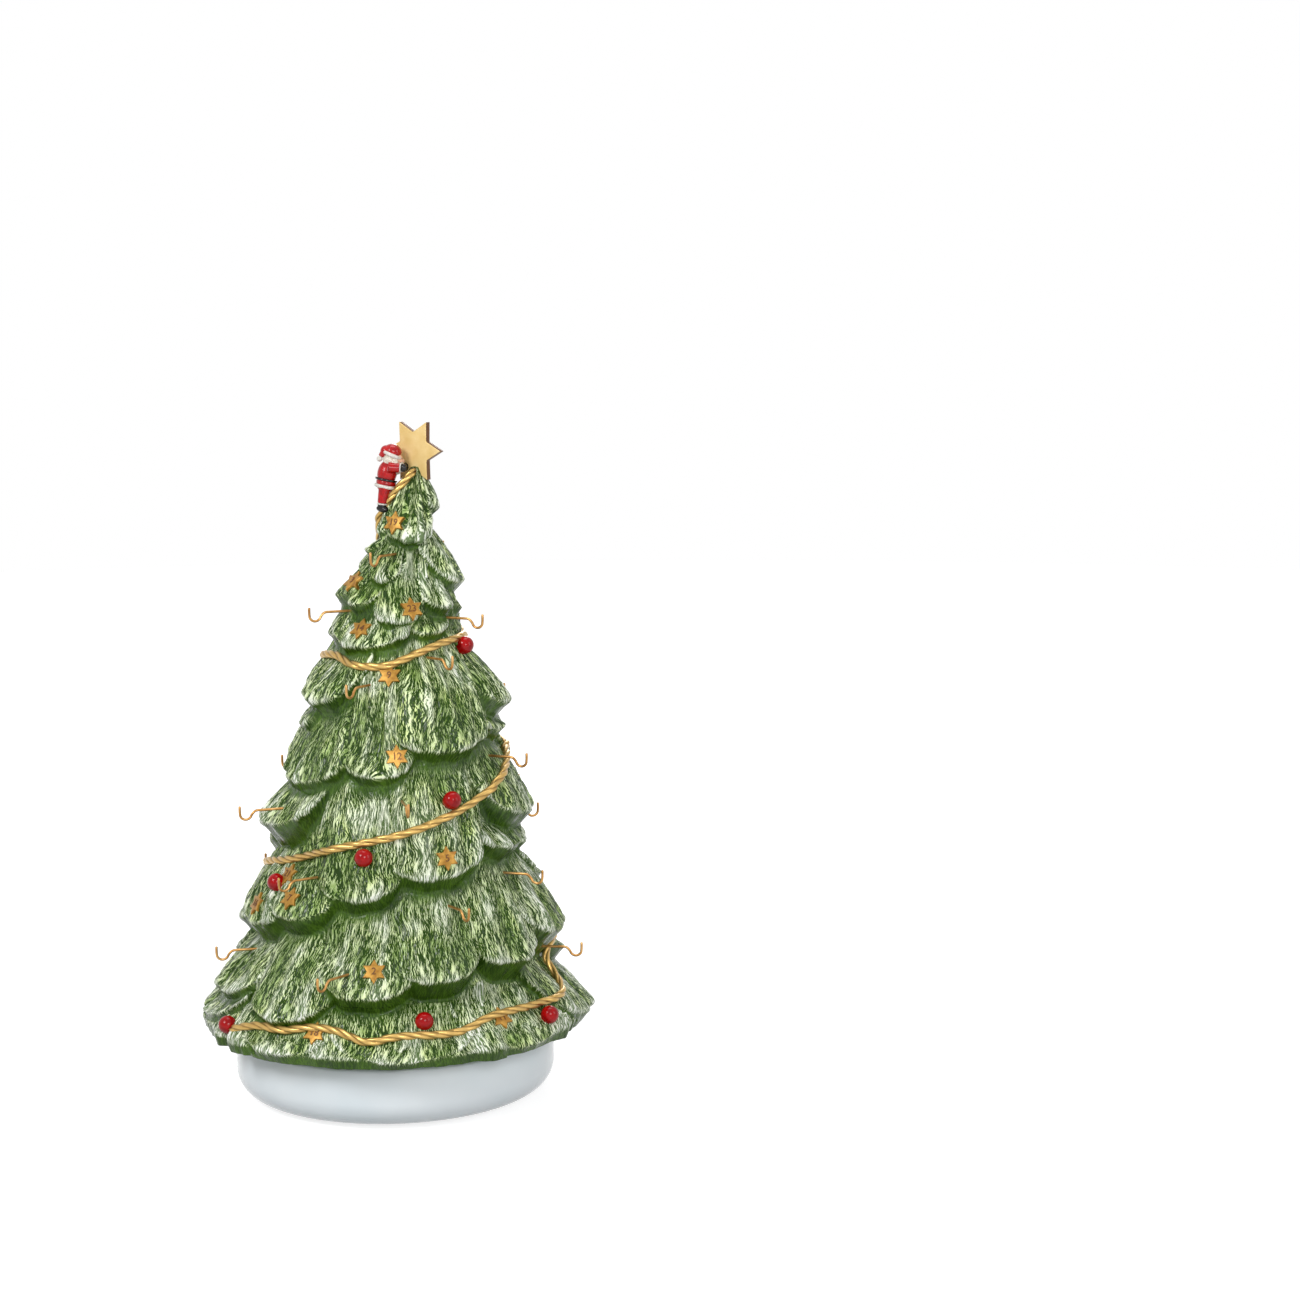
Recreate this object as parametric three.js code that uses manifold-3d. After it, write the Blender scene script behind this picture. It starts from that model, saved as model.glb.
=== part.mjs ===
// A porcelain Christmas tree with twenty-four numbered stars and brass hooks, one for each
// day before Christmas. It turns on a round white base that hides a ball bearing.
// Millimetres, +Z up. The front faces -Y, and +X is on the right of someone in front of it.
// The origin is the middle of the underside of the felt, on the table.

import * as THREE from 'three';
import { mergeVertices } from 'three/addons/utils/BufferGeometryUtils.js';
import Module from 'manifold-3d';

const wasm = await Module();
wasm.setup();

// Sides of the round pieces
const WIDE_SIDES = 32;
const BEARING_SIDES = 16;
const PIN_SIDES = 8;
const FILLET_STEPS = 3;
const SMALL_BALL_COLUMNS = 6;
const SMALL_BALL_ROWS = 4;
const RED_BALL_COLUMNS = 8;
const RED_BALL_ROWS = 6;

// How far a cutting shape passes the faces it cuts
const CUT_OVERRUN = 1;

// Slivers that a cut leaves are merged where the shape stays within this distance
const SLIVER_TOLERANCE = 0.05;

// Clearances
const SEAT_GAP = 0.3;
const GLAZE_GAP = 0.42;
const RUNNING_GAP = 0.4;
const TURNING_GAP = 1;

// Base
const FELT_RADIUS = 90;
const FELT_THICKNESS = 2;
const BASE_RADIUS = 112;
const BASE_HEIGHT = 45;
const BASE_FOOT_FILLET = 18;
const BASE_TOP_FILLET = 3;
const BASE_WALL = 5;
const WELL_RADIUS = 87;
const PLATE_RADIUS = 84;
const PLATE_THICKNESS = 4;
const BOSS_RING_RADIUS = 56;
const BOSS_RADIUS = 6;
const SCREW_COUNT = 3;
const SCREW_RADIUS = 2;
const SCREW_HEAD_RADIUS = 4;
const SCREW_HEAD_HEIGHT = 2.4;
const SCREW_LENGTH = 13;

// Turntable, counted down from the foot of the tree
const FOOT_DEPTH = 2.5;
const FOOT_OUTER_RADIUS = 83;
const FOOT_INNER_RADIUS = 74;
const RUBBER_THICKNESS = 1.5;
const TURN_DISC_RADIUS = 84;
const TURN_DISC_THICKNESS = 4;
const SPIGOT_WALL = 4;
const SPIGOT_HEIGHT = 8;
const SPIGOT_GAP = 0.8;
const RACE_INNER_RADIUS = 20;
const RACE_OUTER_RADIUS = 36;
const RACE_THICKNESS = 2.5;
const GROOVE_HALF_WIDTH = 1.8;
const GROOVE_DEPTH = 1.4;
const BEARING_BALL_RADIUS = 3;
const BEARING_BALL_COUNT = 6;
const CAGE_THICKNESS = 2.4;
const CAGE_RIM = 2.2;

// Pivot
const BOLT_RADIUS = 4;
const BOLT_HEAD_RADIUS = 7;
const BOLT_HEAD_HEIGHT = 5;
const BOLT_END_LENGTH = 1.5;
const BUSH_WALL = 2.4;
const BUSH_FLANGE_RADIUS = 10;
const BUSH_FLANGE_THICKNESS = 1.5;
const WASHER_RADIUS = 9;
const WASHER_THICKNESS = 1.5;
const NUT_RADIUS = 7.5;
const NUT_HEIGHT = 6.5;
const NUT_FLATS = 6;

// Tree. Heights are above the tree's underside, and azimuths are degrees from the front,
// growing towards +X. The tables are drawn for one tree, and stretch to this height and reach.
const TREE_HEIGHT = 395;
const TREE_REACH = 139.5;
const TREE_WALL = 5;
const TREE_COLUMNS = 60;
const TREE_ROW_STEP = 9.3;
const HOLLOW_COLUMNS = 18;
const HOLLOW_ROWS = 14;
const HOLLOW_FOLLOW = 0.6;
const TIP_DEPTH = 45;
const HOLLOW_SHOULDER_SLOPE = 1.6;
const LOWER_LEAN = 7.5;
const LOWER_LEAN_HEIGHT = 234;
const TIP_LEAN = 13;
const TIP_LEAN_START = 284;
const TIP_LEAN_POWER = 1.5;
const SKIRT_FLOOR = 4;
const SKIRT_WIDTH = 24.5;

// Rim: height of its edge, reach, height where it starts, and slope of its undercut
const RIM = [12, 134, 46, 0.3];

// How the edge of a branch rises and draws in towards its sides, per its half width
const EDGE_RISE = 0.36;
const EDGE_FALL = 0.85;
const UNDERCUT_SLOPE = 0.85;
const EDGE_ROUNDING = 2.4;
const BRANCH_BLEND = 3;
const BRANCH_BULGE = 0.05;
const BRANCH_SIDE_LIMIT = 1.6;

// Folds run down the back of each branch. Those of the short branches near the tip are wider.
const FOLD_TURN = 12;
const WIDE_FOLD_TURN = 24;
const WIDE_FOLD_REACH = 60;
const FOLD_HEIGHT = 3;
const FOLD_EDGE_SHARE = 0.6;
const FOLD_SWELL = 3;
const FOLD_FADE = 1.5;
const CREASE_SHARPNESS = 1.6;

// Radius of the trunk of needles that the branches grow from, by height
const CORE_PROFILE = [
  [0, 114], [20, 112], [50, 103], [66, 96], [122, 84], [134, 79], [176, 75], [208, 64],
  [231, 59], [268, 46], [304, 35], [357, 12.5], [386, 4.5], [395, 0.5],
];

// Branch tips from the top of the tree down:
// azimuth, half width in degrees, height of the tip, reach, height where the branch starts
const BRANCHES = [
  [8, 62, 346, 23.5, 398], [88, 36, 366, 20.5, 398], [-85, 38, 350, 20.5, 396], [160, 50, 352, 22, 398],
  [-25, 24, 320, 38, 341], [86, 46, 315.5, 43.5, 357], [-88, 28, 337, 28, 346],
  [146, 34, 325, 38, 344], [-148, 36, 319, 40, 342],
  [-84, 32, 307, 46, 330], [-46, 22, 303, 45, 319], [-1, 24, 292, 47.5, 332], [50, 26, 300, 45.5, 327],
  [104, 28, 294, 46, 307], [158, 32, 300, 46, 316], [-142, 34, 296, 47, 309],
  [-34, 46, 275, 51.5, 291], [-88, 32, 279, 49.5, 298], [28, 26, 283, 46, 291],
  [148, 40, 272, 51, 290], [-150, 38, 277, 51, 287], [96, 28, 281, 43, 286],
  [-67, 36, 237, 69, 266], [90, 36, 230.5, 76, 270], [145, 28, 242, 69, 263],
  [-122, 30, 243, 68, 266], [-172, 30, 235, 72, 264],
  [26, 37, 206, 76.5, 267], [77, 22, 213, 73.5, 223], [-90, 26, 217, 70.5, 230],
  [126, 30, 209, 75, 232], [-142, 34, 211, 74, 230],
  [-64, 36, 182.5, 82.5, 220], [-13, 20, 190, 79.5, 262], [168, 34, 184, 83, 224],
  [116, 26, 190, 81, 201], [-118, 30, 190, 81, 206],
  [-80, 38, 151, 96, 175], [77, 32, 156, 95.5, 202], [134, 30, 159, 93, 182],
  [-138, 30, 157, 93, 184], [-178, 26, 150, 95, 175],
  [16, 25, 123, 95.5, 195], [60, 22, 136, 93.5, 150], [90, 20, 131, 90, 146],
  [128, 26, 122, 97, 149], [-120, 28, 126, 97, 147],
  [-19, 21, 110.5, 100, 180], [160, 30, 106, 102, 142], [-162, 28, 112, 100, 143],
  [-76, 30, 84.5, 108.5, 133], [-46, 19, 95, 106.5, 132], [112, 28, 100, 106, 116],
  [82, 30, 71.5, 118.5, 121], [46, 18, 63, 117.5, 122], [14, 18, 58, 120, 112],
  [136, 28, 66, 119, 106], [-120, 28, 70, 118, 114], [-167, 30, 62, 120, 101],
  [-11, 19, 49, 123.5, 101], [-78, 26, 37, 127.5, 68], [-40, 18, 32, 130, 85],
  [-126, 26, 42, 127, 60], [162, 30, 40, 128, 54], [112, 24, 44, 126, 60],
  [88, 34, 11, 139.5, 46], [-86, 28, 18, 135.5, 36], [2, 26, 9, 136, 34], [-38, 20, 11, 136, 30],
  [44, 24, 9, 136.5, 34], [134, 26, 9, 137, 34], [-176, 26, 10, 136.5, 34], [-130, 26, 10, 136.5, 34],
];

// Numbered stars: azimuth and height of each middle
const STAR_RADIUS = 8.6;
const STAR_INNER_SHARE = 0.56;
const STAR_RELIEF = 1.5;
const STAR_ROOT = 4;
const STAR_FLAT_RADIUS = 7;
const STAR_FOLD_RADIUS = 15;
const NUMBER_STARS = [
  [-27, 357], [-63, 317], [10, 300], [-37, 286], [-8, 256], [-2, 204], [-56, 120], [-47, 107],
  [-70, 97], [20, 136], [-8, 66], [-26, 25], [35, 28], [120, 338], [-150, 300], [150, 258],
  [-120, 226], [165, 206], [105, 170], [-140, 160], [150, 118], [-172, 110], [-125, 60], [128, 30],
];

// Hooks: azimuth and height of the hole, and the azimuth that the hook points to
const HOOK_WIRE_RADIUS = 0.9;
const HOOK_HOLE_GAP = 0.35;
const HOOK_HOLE_REACH = 6.5;
const HOOK_SEAT_DEPTH = 4.5;
const HOOK_STEM_LENGTH = 16.5;
const HOOK_SHOULDER = 3.5;
const HOOK_BEND_RADIUS = 4.1;
const HOOK_DROP = 6;
const HOOK_TIP_RISE = 9.5;
const HOOK_SIDES = 5;
const HOOK_BEND_ANGLES = [205, 235, 270, 305, 335];
const HOOKS = [
  [-16, 336, -35], [-62, 297, -72], [52, 292, 57], [22, 267, 38], [-21, 250, -36], [61, 196.5, 60],
  [-67, 163, -76], [1, 174, 8], [-38, 122, -60], [56, 117, 66], [21, 103.5, 28], [-73, 64, -80],
  [-17, 64, -42], [71, 61, 76], [-128, 181, -120], [116, 144.5, 108], [-130, 106.5, -118], [150, 316, 150],
  [-150, 262, -150], [122, 232, 122], [176, 182, 176], [-144, 140, -144], [136, 98, 136], [-168, 46, -168],
];

// Garland: azimuth, counted on through its turns, and height
const GARLAND_RADIUS = 3.1;
const GARLAND_STAND = 2;
const GARLAND_SIDES = 5;
const GARLAND_STEP = 18;
const GARLAND_SAMPLES = 700;
const GARLAND_SMOOTHING = 9;
const GARLAND_PATH = [
  [4, 393], [-14, 391], [-50, 381], [-78, 369], [-102, 356], [-145, 336], [-190, 310], [-250, 276],
  [-280, 277.5], [-304, 277], [-322, 275.5], [-345, 270.5], [-360, 265.5], [-374, 262], [-400, 263],
  [-422, 267], [-470, 261], [-540, 238], [-600, 204], [-640, 193], [-660, 184], [-682, 170],
  [-698, 163], [-720, 153], [-744, 145], [-764, 136], [-775, 131], [-788, 126.5], [-806, 121],
  [-835, 109], [-852, 99], [-900, 85], [-930, 77], [-960, 67], [-985, 62], [-998, 58], [-1003, 50],
  [-1005, 40], [-1013, 32], [-1026, 30.5], [-1049, 31], [-1061, 25], [-1080, 25], [-1089, 22],
  [-1099, 28], [-1108, 28.5], [-1117, 25], [-1127, 25], [-1139, 18],
];

// Red balls: azimuth and height of each, beside the garland and at its lower end
const RED_BALL_RADIUS = 6.2;
const RED_BALL_STAND = 3;
const RED_BALLS = [
  [66, 272], [25, 173.5], [-14.5, 139], [-60, 114.5], [8.5, 33], [54, 23], [-61, 20],
  [160, 295], [-170, 252], [-150, 103], [115, 56],
];

// Star on the tip, and the climbing Father Christmas beside it
const TOP_STAR_RADIUS = 23.2;
const TOP_STAR_THICKNESS = 5;
const TOP_STAR_RISE = 10.4;
const TOP_STAR_BACK = 2.5;
const TOP_STAR_YAW = -37;
const FIGURE_LEAN = 12;
const FIGURE_YAW = -6;
const FIGURE_AZIMUTH = -90;
const FIGURE_DROP = 31;
const FIGURE_STAND = 4.6;
const FIGURE_HEIGHT = 48;

// The figure climbs with its chest to +X, its feet at the origin and its head up.
// Eggs are given by their middle and half sizes, and limbs by start, end and their radii.
const FIGURE_EGGS = [
  [[1.2, 0, 27], [6.8, 7.6, 10]],
  [[2, 0, 17.5], [6.2, 7, 5.5]],
  [[4, 0, 37.5], [6.6, 7, 7]],
  [[7, 0, 34.5], [4.8, 5.4, 6]],
  [[2.2, 0, 42], [6.6, 6.8, 6]],
];
const FIGURE_HANDS_AND_BOOTS = [
  [[11, -5.6, 33.5], [3.2, 3, 3.4]],
  [[11, 5.6, 33.5], [3.2, 3, 3.4]],
  [[3, -3.8, 2.8], [5, 3.4, 3.4]],
  [[3, 3.8, 2.8], [5, 3.4, 3.4]],
];
const FIGURE_LIMBS = [
  [[1.5, -6, 31.5], [9.5, -5.6, 33], 3.7, 3],
  [[1.5, 6, 31.5], [9.5, 5.6, 33], 3.7, 3],
  [[1.5, -3.5, 18], [2, -3.7, 3], 4.4, 3.4],
  [[1.5, 3.5, 18], [2, 3.7, 3], 4.4, 3.4],
];

// Heights, worked up from the table
const drumBottom = FELT_THICKNESS + SEAT_GAP;
const treeUnderside = BASE_HEIGHT + TURNING_GAP;
const footBottom = treeUnderside - FOOT_DEPTH;
const rubberTop = footBottom - SEAT_GAP;
const rubberBottom = rubberTop - RUBBER_THICKNESS;
const turnDiscTop = rubberBottom - SEAT_GAP;
const turnDiscBottom = turnDiscTop - TURN_DISC_THICKNESS;
const upperRaceTop = turnDiscBottom - SEAT_GAP;
const upperRaceBottom = upperRaceTop - RACE_THICKNESS;
const ballToGroove = Math.sqrt(BEARING_BALL_RADIUS ** 2 - GROOVE_HALF_WIDTH ** 2) + SEAT_GAP;
const bearingCentre = upperRaceBottom - ballToGroove;
const lowerRaceTop = bearingCentre - ballToGroove;
const lowerRaceBottom = lowerRaceTop - RACE_THICKNESS;
const wellFloor = lowerRaceBottom - SEAT_GAP;
const wellUnderside = wellFloor - BASE_WALL;
const raceMiddle = (RACE_INNER_RADIUS + RACE_OUTER_RADIUS) / 2;
const tipHeight = treeUnderside + TREE_HEIGHT;
const hollowTop = TREE_HEIGHT - TIP_DEPTH;

// How far the tables stretch to the sizes of the tree
const heightScale = TREE_HEIGHT / CORE_PROFILE[CORE_PROFILE.length - 1][0];
const reachScale = TREE_REACH / Math.max(...BRANCHES.map((branch) => branch[3]));
const numberStars = stretched(NUMBER_STARS);
const hooks = stretched(HOOKS);
const garlandPath = stretched(GARLAND_PATH);
const redBalls = stretched(RED_BALLS);

const felt = finish(0x2f4a3a, 0.95, 0);
const zincSteel = finish(0xb9bcc0, 0.35, 0.9);
const blackSteel = finish(0x55585c, 0.45, 0.8);
const whiteGlaze = finish(0xe3e9ee, 0.12, 0);
const greenGlaze = finish(0x5f8447, 0.2, 0);
const goldGlaze = finish(0xd9b05a, 0.3, 0.4);
const redGlaze = finish(0xc3131c, 0.12, 0);
const brass = finish(0xc49a58, 0.3, 0.9);
const rubber = finish(0x26282a, 0.9, 0);
const nylon = finish(0xe8e6dc, 0.5, 0);

function finish(colour, roughness, metalness) {
  return new THREE.MeshStandardMaterial({ color: colour, roughness, metalness });
}

function stretched(places) {
  return places.map(([azimuth, height, ...rest]) => [azimuth, height * heightScale, ...rest]);
}

function clamp(value, low, high) {
  return Math.min(Math.max(value, low), high);
}

function radians(degrees) {
  return THREE.MathUtils.degToRad(degrees);
}

function merged(geometry) {
  const plain = geometry.index ? geometry.toNonIndexed() : geometry.clone();
  plain.deleteAttribute('normal');
  plain.deleteAttribute('uv');
  return mergeVertices(plain, 1e-4);
}

function solidOf(geometry) {
  const closed = merged(geometry);
  return new wasm.Manifold(new wasm.Mesh({
    numProp: 3,
    vertProperties: new Float32Array(closed.attributes.position.array),
    triVerts: new Uint32Array(closed.index.array),
  }));
}

function geometryOf(solid) {
  const mesh = solid.asOriginal().simplify(SLIVER_TOLERANCE).getMesh();
  const geometry = new THREE.BufferGeometry();
  geometry.setAttribute('position', new THREE.BufferAttribute(new Float32Array(mesh.vertProperties), 3));
  geometry.setIndex(new THREE.BufferAttribute(new Uint32Array(mesh.triVerts), 1));
  return geometry;
}

function cut(body, tools) {
  return tools.reduce((rest, tool) => rest.subtract(tool), body);
}

function join(pieces) {
  return pieces.reduce((whole, piece) => whole.add(piece));
}

// A round piece about the vertical axis from a closed list of [radius, height] corners
function turned(corners, sides) {
  const profile = corners.map(([radius, height]) => new THREE.Vector2(radius, height));
  const geometry = new THREE.LatheGeometry(profile, sides);
  geometry.rotateX(Math.PI / 2);
  return geometry;
}

// A flat ring, or a disc where the bore is zero
function ring(outer, bore, bottom, top, sides) {
  if (bore === 0) {
    return turned([[0, bottom], [outer, bottom], [outer, top], [0, top]], sides);
  }
  return turned([[bore, bottom], [outer, bottom], [outer, top], [bore, top], [bore, bottom]], sides);
}

function arcCorners(centreRadius, centreHeight, radius, fromDegrees, toDegrees) {
  return Array.from({ length: FILLET_STEPS + 1 }, (_, step) => {
    const angle = radians(fromDegrees + (toDegrees - fromDegrees) * step / FILLET_STEPS);
    return [centreRadius + radius * Math.cos(angle), centreHeight + radius * Math.sin(angle)];
  });
}

function screwPlaces() {
  return Array.from({ length: SCREW_COUNT }, (_, index) => {
    const angle = 2 * Math.PI * (index + 0.5) / SCREW_COUNT;
    return [BOSS_RING_RADIUS * Math.cos(angle), BOSS_RING_RADIUS * Math.sin(angle)];
  });
}

function at(geometry, [x, y]) {
  return geometry.clone().translate(x, y, 0);
}

function makeFeltPad() {
  return ring(FELT_RADIUS, 0, 0, FELT_THICKNESS, WIDE_SIDES);
}

function screwProfile(gap) {
  const head = drumBottom - gap;
  const shoulder = drumBottom + SCREW_HEAD_HEIGHT;
  const end = drumBottom + SCREW_LENGTH + gap;
  return [
    [0, head],
    [SCREW_HEAD_RADIUS + gap, head],
    [SCREW_RADIUS + gap, shoulder],
    [SCREW_RADIUS + gap, end],
    [0, end],
  ];
}

function screwHole() {
  return turned(screwProfile(SEAT_GAP), PIN_SIDES);
}

function makeBasePlate() {
  const disc = solidOf(ring(PLATE_RADIUS, 0, drumBottom, drumBottom + PLATE_THICKNESS, WIDE_SIDES));
  return geometryOf(cut(disc, screwPlaces().map((place) => solidOf(at(screwHole(), place)))));
}

function makePlateScrew(index) {
  return at(turned(screwProfile(0), PIN_SIDES), screwPlaces()[index]);
}

// A hollow white drum, open below, with a round well in its top for the turntable
function makeBaseDrum() {
  const footRadius = BASE_RADIUS - BASE_FOOT_FILLET;
  const innerFillet = BASE_FOOT_FILLET - BASE_WALL;
  const corners = [
    [PLATE_RADIUS + SEAT_GAP, drumBottom],
    ...arcCorners(footRadius, drumBottom + BASE_FOOT_FILLET, BASE_FOOT_FILLET, -90, 0),
    ...arcCorners(BASE_RADIUS - BASE_TOP_FILLET, BASE_HEIGHT - BASE_TOP_FILLET, BASE_TOP_FILLET, 0, 90),
    [WELL_RADIUS, BASE_HEIGHT],
    [WELL_RADIUS, wellFloor],
    [BOLT_RADIUS + SEAT_GAP, wellFloor],
    [BOLT_RADIUS + SEAT_GAP, wellUnderside],
    [WELL_RADIUS + BASE_WALL, wellUnderside],
    [WELL_RADIUS + BASE_WALL, BASE_HEIGHT - BASE_WALL],
    [BASE_RADIUS - BASE_WALL, BASE_HEIGHT - BASE_WALL],
    ...arcCorners(footRadius, drumBottom + BASE_FOOT_FILLET, innerFillet, 0, -90),
    [PLATE_RADIUS + SEAT_GAP, drumBottom + BASE_WALL],
    [PLATE_RADIUS + SEAT_GAP, drumBottom],
  ];
  const bossBottom = drumBottom + PLATE_THICKNESS + SEAT_GAP;
  const boss = ring(BOSS_RADIUS, 0, bossBottom, wellFloor - BASE_WALL / 2, PIN_SIDES);
  const places = screwPlaces();
  const bosses = places.map((place) => solidOf(at(boss, place)));
  const drum = join([solidOf(turned(corners, WIDE_SIDES)), ...bosses]);
  return geometryOf(cut(drum, places.map((place) => solidOf(at(screwHole(), place)))));
}

// A bearing race with its groove on the side given by facing, 1 for up and -1 for down
function makeRace(back, facing) {
  const face = back + facing * RACE_THICKNESS;
  const groove = face - facing * GROOVE_DEPTH;
  const corners = [
    [RACE_INNER_RADIUS, back],
    [RACE_OUTER_RADIUS, back],
    [RACE_OUTER_RADIUS, face],
    [raceMiddle + GROOVE_HALF_WIDTH, face],
    [raceMiddle + GROOVE_HALF_WIDTH, groove],
    [raceMiddle - GROOVE_HALF_WIDTH, groove],
    [raceMiddle - GROOVE_HALF_WIDTH, face],
    [RACE_INNER_RADIUS, face],
    [RACE_INNER_RADIUS, back],
  ];
  return turned(facing > 0 ? corners : corners.reverse(), BEARING_SIDES);
}

function bearingPlace(index) {
  const angle = 2 * Math.PI * index / BEARING_BALL_COUNT;
  return [raceMiddle * Math.cos(angle), raceMiddle * Math.sin(angle)];
}

function makeBearingBall(index) {
  const ball = new THREE.SphereGeometry(BEARING_BALL_RADIUS, SMALL_BALL_COLUMNS, SMALL_BALL_ROWS);
  ball.rotateX(Math.PI / 2);
  ball.translate(0, 0, bearingCentre);
  return at(ball, bearingPlace(index));
}

function makeBallCage() {
  const reach = BEARING_BALL_RADIUS + SEAT_GAP + CAGE_RIM;
  const bottom = bearingCentre - CAGE_THICKNESS / 2;
  const top = bearingCentre + CAGE_THICKNESS / 2;
  const band = solidOf(ring(raceMiddle + reach, raceMiddle - reach, bottom, top, BEARING_SIDES));
  const pocketRadius = (BEARING_BALL_RADIUS + SEAT_GAP) / Math.cos(Math.PI / PIN_SIDES);
  const pocket = ring(pocketRadius, 0, bottom - CUT_OVERRUN, top + CUT_OVERRUN, PIN_SIDES);
  const indexes = Array.from({ length: BEARING_BALL_COUNT }, (_, index) => index);
  const pockets = indexes.map((index) => solidOf(at(pocket, bearingPlace(index))));
  return geometryOf(cut(band, pockets));
}

function makeTurnDisc() {
  const bore = BOLT_RADIUS + RUNNING_GAP + BUSH_WALL + SEAT_GAP;
  const spigotOuter = FOOT_INNER_RADIUS - SPIGOT_GAP;
  return turned([
    [bore, turnDiscBottom],
    [TURN_DISC_RADIUS, turnDiscBottom],
    [TURN_DISC_RADIUS, turnDiscTop],
    [spigotOuter, turnDiscTop],
    [spigotOuter, turnDiscTop + SPIGOT_HEIGHT],
    [spigotOuter - SPIGOT_WALL, turnDiscTop + SPIGOT_HEIGHT],
    [spigotOuter - SPIGOT_WALL, turnDiscTop],
    [bore, turnDiscTop],
    [bore, turnDiscBottom],
  ], WIDE_SIDES);
}

function makeGripRing() {
  return ring(FOOT_OUTER_RADIUS, FOOT_INNER_RADIUS, rubberBottom, rubberTop, WIDE_SIDES);
}

const bushFlangeBottom = turnDiscTop + SEAT_GAP;
const washerBottom = bushFlangeBottom + BUSH_FLANGE_THICKNESS + SEAT_GAP;
const nutBottom = washerBottom + WASHER_THICKNESS + SEAT_GAP;

function makePivotBush() {
  const bore = BOLT_RADIUS + RUNNING_GAP;
  return turned([
    [bore, turnDiscBottom],
    [bore + BUSH_WALL, turnDiscBottom],
    [bore + BUSH_WALL, bushFlangeBottom],
    [BUSH_FLANGE_RADIUS, bushFlangeBottom],
    [BUSH_FLANGE_RADIUS, bushFlangeBottom + BUSH_FLANGE_THICKNESS],
    [bore, bushFlangeBottom + BUSH_FLANGE_THICKNESS],
    [bore, turnDiscBottom],
  ], PIN_SIDES * 2);
}

function makePivotBolt() {
  const seat = wellUnderside - SEAT_GAP;
  const end = nutBottom + NUT_HEIGHT + BOLT_END_LENGTH;
  return turned([
    [0, seat - BOLT_HEAD_HEIGHT],
    [BOLT_HEAD_RADIUS, seat - BOLT_HEAD_HEIGHT],
    [BOLT_HEAD_RADIUS, seat],
    [BOLT_RADIUS, seat],
    [BOLT_RADIUS, end],
    [0, end],
  ], PIN_SIDES * 2);
}

function makePivotWasher() {
  const bore = BOLT_RADIUS + SEAT_GAP;
  return ring(WASHER_RADIUS, bore, washerBottom, washerBottom + WASHER_THICKNESS, PIN_SIDES * 2);
}

function makePivotNut() {
  const nutTop = nutBottom + NUT_HEIGHT;
  const block = solidOf(ring(NUT_RADIUS, 0, nutBottom, nutTop, NUT_FLATS));
  const bore = BOLT_RADIUS + SEAT_GAP;
  const thread = solidOf(ring(bore, 0, nutBottom - CUT_OVERRUN, nutTop + CUT_OVERRUN, PIN_SIDES * 2));
  return geometryOf(block.subtract(thread));
}

// Sideways lean of the middle of the tree at a height
function leanAt(height) {
  const lower = LOWER_LEAN * clamp(height / LOWER_LEAN_HEIGHT, 0, 1);
  const tip = clamp((height - TIP_LEAN_START) / (TREE_HEIGHT - TIP_LEAN_START), 0, 1);
  return lower + TIP_LEAN * tip ** TIP_LEAN_POWER;
}

function coreRadius(height) {
  const last = CORE_PROFILE.length - 1;
  const upper = clamp(CORE_PROFILE.findIndex(([level]) => level > height), 1, last);
  const [lowHeight, lowRadius] = CORE_PROFILE[height >= CORE_PROFILE[last][0] ? last - 1 : upper - 1];
  const [highHeight, highRadius] = CORE_PROFILE[height >= CORE_PROFILE[last][0] ? last : upper];
  const share = (height - lowHeight) / (highHeight - lowHeight);
  return lowRadius + (highRadius - lowRadius) * share;
}

function softMaximum(first, second, blend) {
  const share = clamp(0.5 + 0.5 * (first - second) / blend, 0, 1);
  return second + (first - second) * share + blend * share * (1 - share);
}

function softMinimum(first, second, blend) {
  return -softMaximum(-first, -second, blend);
}

// Each branch with the slopes that follow from its tip and its start, and where its folds lie
const branches = BRANCHES.map(([azimuth, halfWidth, height, reach, start], index) => ({
  azimuth,
  halfWidth,
  height,
  reach,
  start,
  slope: (reach - coreRadius(start)) / (start - height),
  rise: EDGE_RISE * radians(halfWidth) * reach,
  fall: EDGE_FALL * (reach - coreRadius(height)),
  foldTurn: reach < WIDE_FOLD_REACH ? WIDE_FOLD_TURN : FOLD_TURN,
  foldShift: index % 2 / 2,
}));

function turnFrom(azimuth, middle) {
  return ((azimuth - middle) % 360 + 540) % 360 - 180;
}

// How far a fold lifts the back of a branch, from its ridge out to its crease
function foldLift(branch, azimuth, climb) {
  const fold = azimuth / branch.foldTurn + branch.foldShift;
  const offRidge = 2 * Math.abs(fold - Math.round(fold));
  const size = FOLD_HEIGHT * (FOLD_EDGE_SHARE + FOLD_SWELL * climb) * (1 - climb) ** FOLD_FADE;
  return size * (0.5 - offRidge ** CREASE_SHARPNESS);
}

// The folds run out around each numbered star, so that it lies flat
function foldShare(azimuth, height) {
  return NUMBER_STARS.reduce((share, [starAzimuth, starHeight]) => {
    const across = radians(turnFrom(azimuth, starAzimuth)) * coreRadius(height);
    const distance = Math.hypot(across, height - starHeight);
    return Math.min(share, THREE.MathUtils.smoothstep(distance, STAR_FLAT_RADIUS, STAR_FOLD_RADIUS));
  }, 1);
}

function sectionRadius(height, edgeHeight, reach, slope, start, undercut) {
  const above = height - edgeHeight;
  const climb = clamp(above / (start - edgeHeight), 0, 1);
  const bulge = BRANCH_BULGE * (start - edgeHeight) * 4 * climb * (1 - climb);
  return softMinimum(reach - slope * above + bulge, reach + undercut * above, EDGE_ROUNDING);
}

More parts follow.
